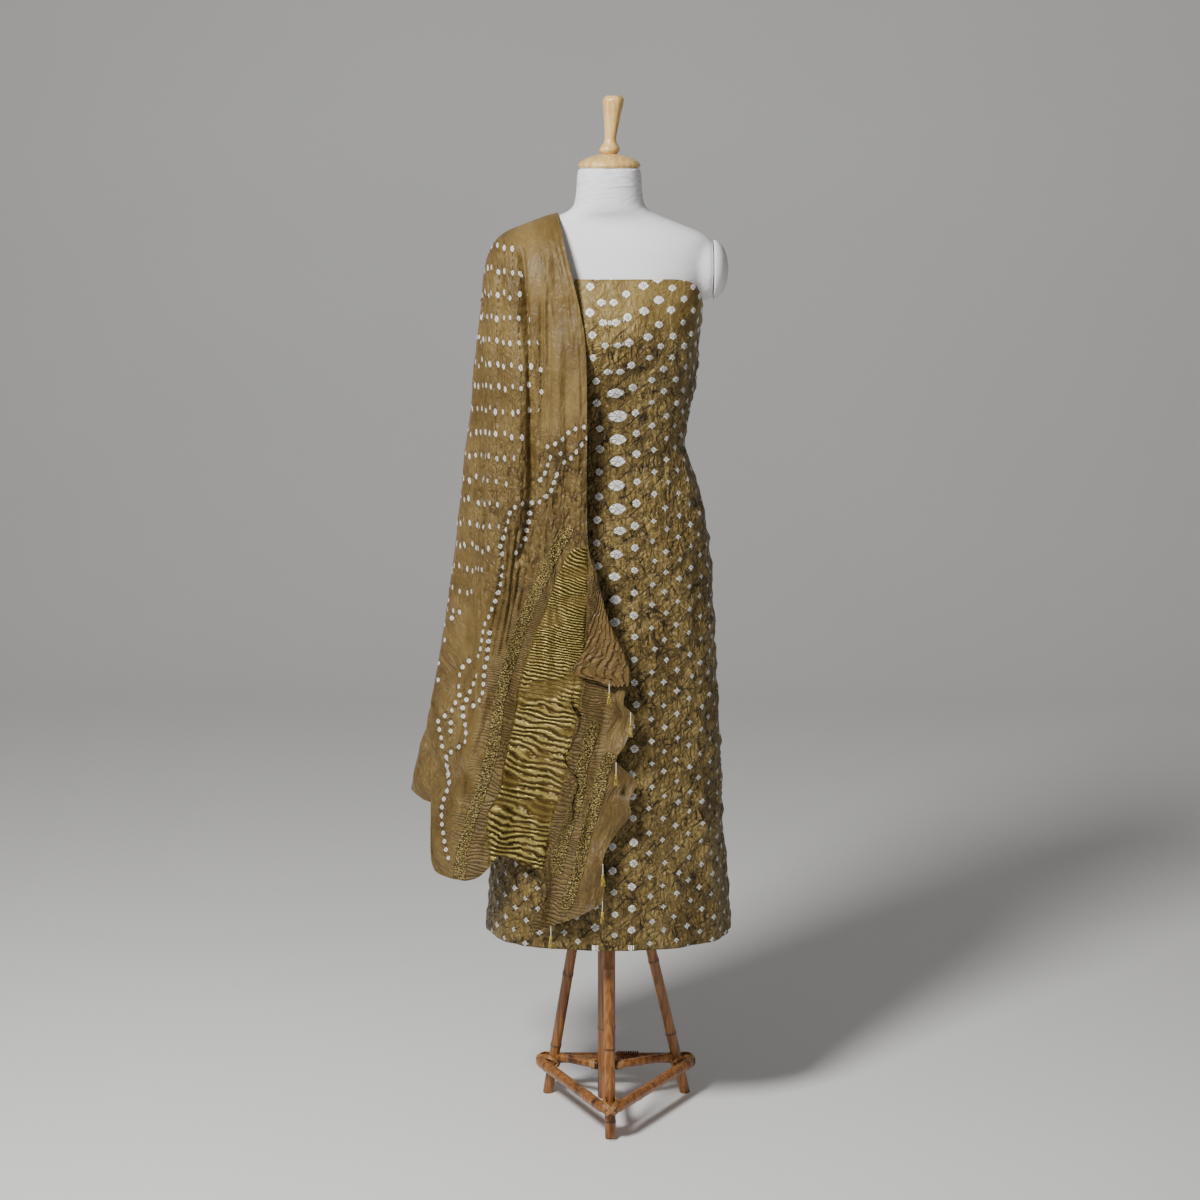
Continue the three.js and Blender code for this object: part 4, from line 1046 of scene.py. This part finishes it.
def make_shawl():
    fronts = stations(SHAWL_FRONT_COLUMNS)
    backs = fronts[::SHAWL_BACK_STEP]
    rises = stations(SHAWL_ROWS)
    near_top = np.linspace(0, 1, SHOULDER_ROWS + 1)[1:]
    rises = np.concatenate([rises, lerp(rises[-1], 1, 1 - (1 - near_top) ** 2)])
    layers = {}
    for is_front, shares in ((True, fronts), (False, backs)):
        share, rise = np.meshgrid(shares, rises)
        points = shawl_points(share, shawl_heights(share, rise, is_front), is_front)
        normals = grid_normals(points) * (-1 if is_front else 1)
        measured = points if is_front else points[..., :2]
        steps = np.linalg.norm(np.diff(measured, axis=1), axis=-1)
        length = np.concatenate([np.zeros((len(rises), 1)), np.cumsum(steps, 1)], 1)
        layers[is_front] = dict(points=points, normals=normals, length=length, rise=rise)
    front, back = layers[True], layers[False]
    # Place on the cloth: along its width from the front's middle leftwards and round the back
    front["across"] = front["length"] - front["points"][:, :1, 0]
    beyond = back["length"][:, -1:] - back["length"]
    fold_place, fold_height = front["across"][:, -1], front["points"][:, -1, 2]
    even = np.polyval(np.polyfit(fold_height, fold_place, 1), fold_height)
    settled = smoothstep(beyond, 0, BACK_SETTLE)
    back["across"] = lerp(fold_place[:, None], even[:, None], settled) + beyond
    for is_front, layer in layers.items():
        points, across = layer["points"], layer["across"]
        z = points[..., 2]
        columns, rows = in_picture(points)
        faces_out = is_front & (layer["normals"][..., 1] < -0.2)
        relief = 2.2 * noise(across / 15, z / 130, 31)
        relief += 1.5 * noise((across + 0.4 * z) / 14, z / 60, 32)
        inside = np.full(z.shape, FAR_OUTSIDE)
        band = np.full(z.shape, FAR_OUTSIDE)
        weave = np.zeros(z.shape + (3,))
        gather = np.full(z.shape, 0.7)
        if is_front:
            relief += crease_rise(columns, rows, SHAWL_CREASES, faces_out)
            inside, count, strength, puckers = panel_relief(columns, rows, z)
            within = smoothstep(inside, -1, 5)
            crest = np.abs(np.sin(math.pi * (count + 0.75)))
            drawn = smoothstep(rows, 395, 470) * (1 - smoothstep(rows, 560, 640))
            drawn *= smoothstep(columns, 500, 530)
            relief += 2.2 * drawn * (1 - 2 * np.abs(noise(across / 12, z / 110, 33)))
            relief = relief * (1 - 0.5 * within) + within * (3.4 * crest * strength - 1)
            weave = np.stack([count, strength * within, puckers * faces_out], -1)
            spotted = 1 - smoothstep(columns - FIELD("right", rows), -2, 10)
            crumpled = smoothstep(rows, 395, 465) * (1 - 0.5 * smoothstep(rows, 560, 640))
            crumpled *= smoothstep(columns, 440, 500)
            gather = np.maximum(lerp(0.24, 0.45, spotted), 0.8 * crumpled) * (1 - within)
            away = np.minimum.reduce([line_distance(columns, rows, line) for line in BANDS])
            band = (BAND_HALF_WIDTH - away) * PICTURE_STEP
            band = np.where((inside <= 0) & faces_out & (rows > 525), band, FAR_OUTSIDE)
        layer.update(columns=columns, rows=rows, relief=relief, inside=inside, band=band)
        layer.update(weave=weave, gather=gather)
    spot_layers(front, back)
    for layer in layers.values():
        # The cloth is smooth where it turns over the shoulder
        calm = 1 - 0.8 * smoothstep(layer["rise"], 0.93, 0.985)
        shift = np.maximum(layer["relief"], -12) * calm - 1.1
        layer["points"] = layer["points"] + layer["normals"] * shift[..., None]
    return join_shawl(layers)


def spot_layers(front, back):
    """Ties the spots: even rows on the upper cloth and the back, trails lower down in front."""
    rng = np.random.default_rng(12)
    grid = []
    for column in range(2, 70):
        for row in range(0, 24):
            z = SHAWL_SPOT_TOP - row * SPOT_PITCH + rng.normal(0, 3)
            across = column * float(SHAWL_SPOT_COLUMN("width", z)) + rng.normal(0, 1.5)
            size = rng.uniform(0.85, 1.15)
            grid.append((across, z, SHAWL_SPOT[0] * size, SHAWL_SPOT[1] * size, SHAWL_SPOT[2]))
    trail = [line_points(line, TRAIL_PITCH) for line in TRAILS]
    trail = spread_out(np.concatenate([*trail, EDGE_SPOTS]), TRAIL_APART) * PICTURE_STEP
    trail = np.concatenate([trail, np.tile(TRAIL_SPOT, (len(trail), 1))], 1)
    for is_front, layer in ((True, front), (False, back)):
        shape = layer["points"].shape[:2]
        z = layer["points"][..., 2]
        place = layer["across"].ravel(), z.ravel()
        offsets, distance, power = nearest_spots(*place, np.array(grid))
        if is_front:
            allowed = layer["columns"] < FIELD("right", layer["rows"]) + 3
            allowed = (allowed & (layer["rows"] < 622)).ravel()
        else:
            allowed = (z > BACK_FIELD_LOW).ravel()
        offsets[~allowed] = NO_SPOT[0]
        distance[~allowed] = UNTIED_AWAY
        if is_front:
            seen = [layer[name].ravel() * PICTURE_STEP for name in ("columns", "rows")]
            others, away, other_power = nearest_spots(*seen, trail)
            others[(layer["normals"][..., 1] > -0.2).ravel()] = NO_SPOT[0]
            nearer = np.linalg.norm(others, axis=1) < np.linalg.norm(offsets, axis=1)
            offsets[nearer] = others[nearer]
            distance[nearer] = away[nearer]
            power[nearer] = other_power[nearer]
        layer["relief"] = layer["relief"] + tie_relief(distance, 1.8, 4.5).reshape(shape)
        layer["spot"] = np.concatenate([offsets, power[:, None]], 1).reshape(shape + (3,))


def join_shawl(layers):
    """One mesh of the front, the back, joined at the outer fold and the shoulder, and the corner."""
    front, back = layers[True], layers[False]
    rows_count, front_count = front["points"].shape[:2]
    front_index = np.arange(rows_count * front_count).reshape(rows_count, front_count)
    inner = back["points"].shape[1] - 1
    start = front_index.size
    back_index = np.arange(start, start + (rows_count - 1) * inner).reshape(rows_count - 1, inner)
    back_index = np.concatenate([back_index, front_index[:-1, -1:]], 1)
    faces = grid_faces(front_index[:, ::-1]) + grid_faces(back_index)
    top, ridge = back_index[-1], front_index[-1]
    for k in range(inner):
        ridge_part = ridge[k * SHAWL_BACK_STEP : (k + 1) * SHAWL_BACK_STEP + 1]
        faces.append([int(top[k]), int(top[k + 1])] + [int(i) for i in ridge_part[::-1]])

    def both(name):
        kept = back[name][:-1, :-1]
        tail = front[name].shape[2:]
        return np.concatenate([front[name].reshape(-1, *tail), kept.reshape(-1, *tail)])

    heights = front["points"][:, 0, 2]
    turned = np.flatnonzero((heights >= TURN_BACK.rows[0, 0]) & (heights <= TURN_BACK.rows[-1, 0]))
    shares = np.linspace(0, 1, TURN_BACK_COLUMNS + 1)[1:]
    share, z = np.meshgrid(shares, heights[turned])
    corner = turn_back_points(share, z)
    low = 1 - smoothstep(z, 798, 850)
    fan = share * 6.6 + z / 27 + 0.35 * noise(share * 2.2, z / 70, 41)
    pleats = np.abs(np.sin(fan * math.pi)) * (0.75 + 0.5 * noise(share * 7, z / 40, 42))
    spread = np.clip(TURN_BACK("width", z) / 60, 0.2, 1)
    corner[..., 1] -= 3.6 * pleats * smoothstep(share, 0, 0.2) * spread
    corner[..., 2] += low * (6 * pleats - 4) * smoothstep(share, 0.05, 0.3)
    corner_start = start + (rows_count - 1) * inner
    corner_index = np.arange(corner_start, corner_start + share.size).reshape(share.shape)
    faces += grid_faces(np.concatenate([front_index[turned, :1], corner_index], 1))
    points = np.concatenate([both("points"), corner.reshape(-1, 3)])
    piece = add_mesh("dupatta", points, faces)
    count = share.size

    def extended(values, corner_values):
        return np.concatenate([values, corner_values])

    across = extended(both("across"), (200 + share * TURN_BACK("width", z)).ravel())
    spot = extended(both("spot"), np.tile(NO_SPOT, (count, 1)))
    gather = extended(both("gather"), np.full(count, 0.3))
    add_ties(piece, across, points[:, 2], spot, gather)
    zone = [extended(both(name), np.full(count, FAR_OUTSIDE)) for name in ("inside", "band")]
    zone.append(extended(np.zeros(len(points) - count), np.ones(count)))
    add_attribute(piece, "zone", np.stack(zone, -1))
    fanned = np.stack([fan.ravel() / FINE_PLEATS, np.zeros(count), np.ones(count)], -1)
    add_attribute(piece, "weave", extended(both("weave"), fanned))
    return finish_piece(piece, shawl_finish(), "dupatta_cloth", "dupatta_cloth")


# Tassels


def tassel_root(row):
    if row["on"] == "turned corner":
        edge = turn_back_points(np.array(row["across"]), np.array(806.0))
        return edge - np.array([0, 2.2, 0])
    if row["on"] == "end":
        return shawl_points(np.array(0.0), np.array(float(row["height"])), True)
    shares = np.linspace(0, 1, 200)
    edge = shawl_points(shares, shawl_heights(shares, np.zeros_like(shares), True), True)
    return edge[np.argmin(np.abs(edge[:, 0] - row["reach"]))]


TASSEL_HEAD = Table("down radius", (0, 0.9), (1.2, 2.4), (3, 2.8), (5, 2.1), (6.5, 2.6))
TASSEL_HEAD_LENGTH = 6.5
TASSEL_STRANDS = 22
TASSEL_FORWARD = 9
TASSEL_GAP = 1.2
THREAD_RADIUS = 0.6
THREAD_SAG = 2.5
STRAND_RADIUS = 0.55


def make_tassel(number, row, thread, gold):
    """A thread from the cloth's edge, a wound head and loose strands."""
    start = tassel_root(row) + np.array([0, -TASSEL_GAP, 0])
    knot = start + np.array([0, -TASSEL_FORWARD, -row["thread"]])
    sag = np.linspace(0, 1, 12)[:, None]
    line = lerp(start, knot, sag) - np.array([0, 0, THREAD_SAG]) * np.sin(math.pi * sag)
    parts = [tube(line, THREAD_RADIUS, 8)]
    rng = np.random.default_rng(40 + number)
    down = np.linspace(0, TASSEL_HEAD_LENGTH, 14)
    parts.append(tube(knot - np.outer(down, (0, 0, 1)), TASSEL_HEAD("radius", down), 14))
    for i in range(TASSEL_STRANDS):
        angle = i / TASSEL_STRANDS * FULL_TURN * 3
        way = np.array([math.cos(angle), math.sin(angle), 0])
        root = knot + way * rng.uniform(0.4, 1.7) - np.array([0, 0, 5.5])
        tip = root + way * rng.uniform(0.8, 2.9) - np.array([0, 0, rng.uniform(14, 17.5)])
        fall = np.linspace(0, 1, 5)[:, None]
        strand = lerp(root, tip, fall) + way * np.sin(math.pi * fall) * 0.7
        parts.append(tube(strand, STRAND_RADIUS, 5))
    thread_faces = len(parts[0][1])
    piece = add_mesh(f"tassel_{number}_threads", *joined(parts))
    finish_piece(piece, thread, "tassel_thread", f"tassel_{number}")
    piece.data.materials.append(gold)
    for i, face in enumerate(piece.data.polygons):
        face.material_index = 0 if i < thread_faces else 1
    return piece


# Form


def ring_stack(rings):
    """Points and faces of a closed solid through level rings."""
    count = len(rings[0])
    points = [point for ring in rings for point in ring]
    index = np.arange(len(points)).reshape(len(rings), count)
    index = np.concatenate([index, index[:, :1]], 1)
    ends = [list(reversed(range(count))), list(range(len(points) - count, len(points)))]
    return points, grid_faces(index) + ends


def level_ring(x, y, z, radius, sides):
    turn = round_angles(sides)
    return np.stack([x + radius * np.cos(turn), y + radius * np.sin(turn), np.full(sides, z)], -1)


def arm_ring(reach, share):
    turn = round_angles(ARM_SIDES)
    y = ARM_HALF_DEPTH * share * np.cos(turn)
    z = ARM_HEIGHT + ARM_HALF_HEIGHT * share * np.sin(turn)
    return np.stack([np.full(ARM_SIDES, reach), y, z], -1)


def make_form():
    cover = cover_finish()
    turn = round_angles(FORM_SIDES)
    rings = []
    for height in np.concatenate([np.arange(FORM_LOW, FORM_HIGH, FORM_STEP), [FORM_HIGH]]):
        sizes = [float(FORM(name, height)) for name in ("half_width", "front", "back")]
        x, y = outline(turn, *sizes, SQUARENESS)
        rings.append(np.stack([x, y, np.full(FORM_SIDES, height)], -1))
    shoulders = [arm_ring(reach, 1) for reach in np.linspace(-SEAM_REACH, SEAM_REACH, 40)]
    torso = add_mesh("form", *joined([ring_stack(rings), ring_stack(shoulders)]))
    remesh = torso.modifiers.new("even", "REMESH")
    remesh.mode = "VOXEL"
    remesh.voxel_size = FORM_GRAIN
    remesh.use_smooth_shade = True
    smooth = torso.modifiers.new("soft", "SMOOTH")
    smooth.factor = 0.5
    smooth.iterations = 4
    depsgraph = bpy.context.evaluated_depsgraph_get()
    shaped = bpy.data.meshes.new_from_object(torso.evaluated_get(depsgraph))
    torso.modifiers.clear()
    torso.data = shaped
    finish_piece(torso, cover, "form_cover", "form_torso")
    for side, name in ((-1, "left"), (1, "right")):
        rings = []
        for swing in np.linspace(0, QUARTER_TURN * 0.985, 16):
            reach = SEAM_REACH + 1.2 + (STUB_LENGTH - 1) * math.sin(swing)
            rings.append(arm_ring(reach, 0.985 * math.cos(swing)) * np.array([side, side, 1]))
        stub = add_mesh(f"stub_{name}", *ring_stack(rings))
        finish_piece(stub, cover, "form_cover", f"arm_stub_{name}")


# Turned top


def lathe(name, radii, heights, leans, material, slot, node):
    rings = [level_ring(x, 0, z, radius, 72) for x, z, radius in zip(leans, heights, radii)]
    return finish_piece(add_mesh(name, *ring_stack(rings)), material, slot, node)


def make_top():
    wood = wood_finish()
    step = np.linspace(0, 5, 41)
    base = NECK_TOP + GAP
    radii, heights = CAP_PROFILE("radius", step), base + CAP_PROFILE("height", step)
    lathe("cap", radii, heights, np.zeros(41), wood, "turned_wood", "neck_cap")
    up = np.linspace(0, FINIAL_HEIGHT, 70)
    base = NECK_TOP + CAP_HEIGHT + 2 * GAP
    leans = up * FINIAL_LEAN
    lathe("knob", FINIAL_PROFILE("radius", up), base + up, leans, wood, "turned_wood", "finial")


# Cane stand


def leg_middle(foot, height):
    away = np.array([foot[0] - POLE_REACH, foot[1]], float)
    distance = np.linalg.norm(away)
    reach = lerp(distance, LEG_TOP_OFFSET, height / LEG_TOP)
    place = away / distance * reach
    return np.array([POLE_REACH + place[0], place[1], height]), reach


def spoke_way(foot, height):
    """The middle of a leg at a height, and the level way to it from the pole."""
    middle, reach = leg_middle(foot, height)
    return middle, np.array([(middle[0] - POLE_REACH) / reach, middle[1] / reach, 0])


def swelling(length, joints):
    """How much a bar swells at its joints, and how near a joint each place is."""
    broad, sharp = (np.max([bump(length - joint, width) for joint in joints], 0) for width in (4, 1.6))
    return 0.9 * broad, sharp


def cane_bar(name, centres, radius, sides, joints, material, node, closed=False, stands_at=0):
    centres = np.asarray(centres, float)
    steps = np.linalg.norm(np.diff(centres, axis=0), axis=1)
    length = np.concatenate([[0], np.cumsum(steps)])
    swell, near = swelling(length, joints)
    points, faces = tube(centres, np.asarray(radius) + swell - 0.5, sides, closed)
    points = np.array(points)
    points[:, 2] = np.maximum(points[:, 2], stands_at)
    piece = add_mesh(name, points, faces)
    add_attribute(piece, "joint", np.repeat(near, sides))
    return finish_piece(piece, material, "cane", node)


def ring_line():
    """The middle of the ring: round the outside of the legs, straight between them."""
    middles = [leg_middle(foot, RING_HEIGHT)[0] for foot in FEET.values()]
    corner = LEG_RADIUS + RING_RADIUS + RING_CLEARANCE
    line = []
    for i, middle in enumerate(middles):
        arriving = middle - middles[(i + 2) % 3]
        leaving = middles[(i + 1) % 3] - middle
        start = math.atan2(arriving[0], -arriving[1])
        end = math.atan2(leaving[0], -leaving[1])
        while end > start:
            end -= FULL_TURN
        for angle in np.linspace(start, end, 16):
            line.append(middle + corner * np.array([math.cos(angle), math.sin(angle), 0]))
    line = np.array(line)
    filled = []
    for here, ahead in zip(line, np.roll(line, -1, 0)):
        count = max(1, int(np.linalg.norm(ahead - here) / 4))
        filled.extend(lerp(here, ahead, share) for share in np.arange(count) / count)
    return np.array(filled)


def spoke_bar(foot, sides=24):
    """Points and faces of a spoke whose ends are hollowed to the pole and the leg."""
    middle, way = spoke_way(foot, SPOKE_HEIGHT)
    aside = np.array([-way[1], way[0], 0])
    turn = round_angles(sides)
    offset, up = SPOKE_RADIUS * np.cos(turn), SPOKE_RADIUS * np.sin(turn)
    low = np.sqrt((POLE_RADIUS + 0.4) ** 2 - offset**2)
    lean = (middle[2] + up) / LEG_TOP
    leg_at = lerp(np.linalg.norm([foot[0] - POLE_REACH, foot[1]]), LEG_TOP_OFFSET, lean)
    high = leg_at - np.sqrt((LEG_RADIUS + 0.5) ** 2 - offset**2)
    section = SPOKE_BASE + np.outer(offset, aside) + np.outer(up, UP)
    shares = np.linspace(0, 1, 20)
    return ring_stack([section + np.outer(lerp(low, high, share), way) for share in shares])


def loop(middle, first, second, thickness):
    """A closed cord round two bars, in the plane of two half axes."""
    turn = round_angles(40)
    across, up = signed_power(np.cos(turn), 0.72), signed_power(np.sin(turn), 0.72)
    return tube(middle + np.outer(across, first) + np.outer(up, second), thickness, 6, True)


def coil(start, end, radius, turns, thickness):
    """A cord wound round a straight bar."""
    start, end = np.asarray(start, float), np.asarray(end, float)
    way = (end - start) / np.linalg.norm(end - start)
    side = np.cross(way, (0, 0, 1.0))
    side = side / np.linalg.norm(side) if np.linalg.norm(side) > 0.1 else np.array([1.0, 0, 0])
    other = np.cross(way, side)
    share = np.linspace(0, 1, turns * 24 + 1)
    angle = share * turns * FULL_TURN
    line = start + np.outer(share, end - start)
    line += radius * (np.outer(np.cos(angle), side) + np.outer(np.sin(angle), other))
    return tube(line, thickness, 6)


def make_legs(cane):
    for name, foot in FEET.items():
        low = PAD_HEIGHT + GAP if name == "front" else GAP
        centres, radii = [], []
        for height in np.linspace(low, LEG_TOP, 180):
            middle, reach = leg_middle(foot, height)
            centres.append(middle)
            radii.append(min(LEG_RADIUS, reach - POLE_RADIUS - 0.8))
        joints = LEG_JOINTS[name]
        cane_bar(f"cane_leg_{name}", centres, radii, 28, joints, cane, f"leg_{name}", stands_at=low)
        spoke = add_mesh(f"cane_spoke_{name}", *spoke_bar(foot))
        finish_piece(spoke, cane, "cane", f"spoke_{name}")


def make_lashings():
    """Crossed lashings where the ring passes the legs, and windings on the two rear spokes."""
    parts = []
    for foot in FEET.values():
        middle, out = spoke_way(foot, RING_HEIGHT)
        tangent = np.array([-out[1], out[0], 0])
        centre = middle + out * (RING_RADIUS + RING_CLEARANCE) * 0.98
        for slant in (-1, 1):
            diagonal = (tangent * slant + UP) / math.sqrt(2)
            crosswise = (tangent - slant * UP) / math.sqrt(2)
            for step in LASHING_STEPS:
                place = centre + crosswise * step
                parts.append(loop(place, out * LOOP_REACH, diagonal * LOOP_HALF_HEIGHT, CORD_RADIUS))
    for name in ("left", "right"):
        way = spoke_way(FEET[name], SPOKE_HEIGHT)[1]
        start, end = (SPOKE_BASE + way * place for place in SPOKE_WINDING)
        parts.append(coil(start, end, SPOKE_RADIUS + 0.9, 5, CORD_RADIUS))
    binding = cane_finish("cane_binding", (96, 60, 30), (150, 104, 56), (196, 148, 92))
    finish_piece(add_mesh("lashings", *joined(parts)), binding, "cane")


def make_stand():
    cane = cane_finish()
    up = np.arange(POLE_LOW, POLE_TOP + 0.01, 3.0)
    line = np.stack([np.full(len(up), POLE_REACH), np.zeros(len(up)), up], -1)
    cane_bar("centre_pole", line, POLE_RADIUS, 40, POLE_JOINTS, cane, "pole")
    make_legs(cane)
    ring = ring_line()
    cane_bar("ring", ring, RING_RADIUS, 24, RING_JOINTS, cane, "cane_ring", True)
    make_lashings()
    rear = ring[np.argmax(ring[:, 1])][1]
    wound = strand_finish("winding_thread", (84, 40, 24), (146, 84, 50), 0.6)
    start, end = ((reach, rear, RING_HEIGHT) for reach in RING_WINDING)
    winding = coil(start, end, RING_RADIUS + 0.9, 10, 1.5)
    finish_piece(add_mesh("winding", *winding), wound, "cane")
    pad = ring_stack([level_ring(*FEET["front"], height, radius, 48) for radius, height in PAD_PROFILE])
    pale = strand_finish("pad_felt", (206, 202, 196), (228, 225, 220), 0.8)
    finish_piece(add_mesh("front_pad", *pad), pale, "foot_pad", "foot_pad")


wrap = make_wrap()
shawl = make_shawl()
white_thread = strand_finish("white_thread", (214, 208, 196), (242, 238, 228), 0.7)
gold_thread = strand_finish("gold_thread", (126, 104, 42), (206, 182, 96), 0.4, 0.35)
tassels = [make_tassel(i + 1, row, white_thread, gold_thread) for i, row in enumerate(TASSELS)]
make_form()
make_top()
make_stand()

# Floor, light and camera


def at(x, y, z):
    return Vector((np.array([x, y, z]) / METRE + ORIGIN).tolist())


floor_finish = Finish("floor_paint", Roughness=0.8)
floor_tone = floor_finish.noise(floor_finish.scaled(floor_finish.place(), 1.5, 1.5, 1.5), 2.0)
floor_colours = linear(242, 241, 239), linear(247, 246, 244)
floor_finish.set("Base Color", floor_finish.mix(floor_tone, *floor_colours))
SWEEP_WIDTH = 12000
SWEEP_NEAR = -6000
SWEEP_FAR = 3400
SWEEP_ROUND = 1800
SWEEP_HIGH = 6000
bend = np.linspace(0, QUARTER_TURN, 25)
sweep_y = SWEEP_FAR + SWEEP_ROUND * np.sin(bend)
sweep_y = np.concatenate([[SWEEP_NEAR], sweep_y, [SWEEP_FAR + SWEEP_ROUND]])
sweep_z = np.concatenate([[0], SWEEP_ROUND * (1 - np.cos(bend)), [SWEEP_HIGH]])
sweep_x, sweep_y = np.meshgrid([SWEEP_WIDTH, -SWEEP_WIDTH], sweep_y)
sweep = np.stack([sweep_x, sweep_y, np.stack([sweep_z, sweep_z], 1)], -1)
floor = add_mesh("floor", sweep.reshape(-1, 3), grid_faces(np.arange(sweep_x.size).reshape(-1, 2)))
floor.data.materials.append(floor_finish.material)

ROOM_COLOUR = (0.88, 0.87, 0.86, 1)
ROOM_STRENGTH = 0.18
world = bpy.data.worlds.new("soft_room")
world.use_nodes = True
room = world.node_tree.nodes["Background"].inputs
room["Color"].default_value = ROOM_COLOUR
room["Strength"].default_value = ROOM_STRENGTH
bpy.context.scene.world = world


def add_light(name, place, aim, size, power):
    data = bpy.data.lights.new(name, "AREA")
    data.shape = "DISK"
    data.size = size
    data.energy = power
    lamp = bpy.data.objects.new(name, data)
    lamp.location = at(*place)
    lamp.rotation_euler = (at(*aim) - lamp.location).to_track_quat("-Z", "Y").to_euler()
    bpy.context.scene.collection.objects.link(lamp)


add_light("key", (-1300, -1800, 2850), (-40, 0, 1350), 0.7, 130)
add_light("fill", (1500, -3200, 1900), (0, 0, 1000), 2.0, 8)

camera_data = bpy.data.cameras.new("picture")
camera_data.sensor_width = SENSOR_WIDTH
camera_data.lens = FOCAL_PIXELS / PICTURE_WIDTH * SENSOR_WIDTH
camera = bpy.data.objects.new("picture", camera_data)
camera.location = at(*CAMERA_PLACE)
camera.rotation_euler = (QUARTER_TURN - CAMERA_PITCH, 0, 0)
bpy.context.scene.collection.objects.link(camera)
bpy.context.scene.camera = camera
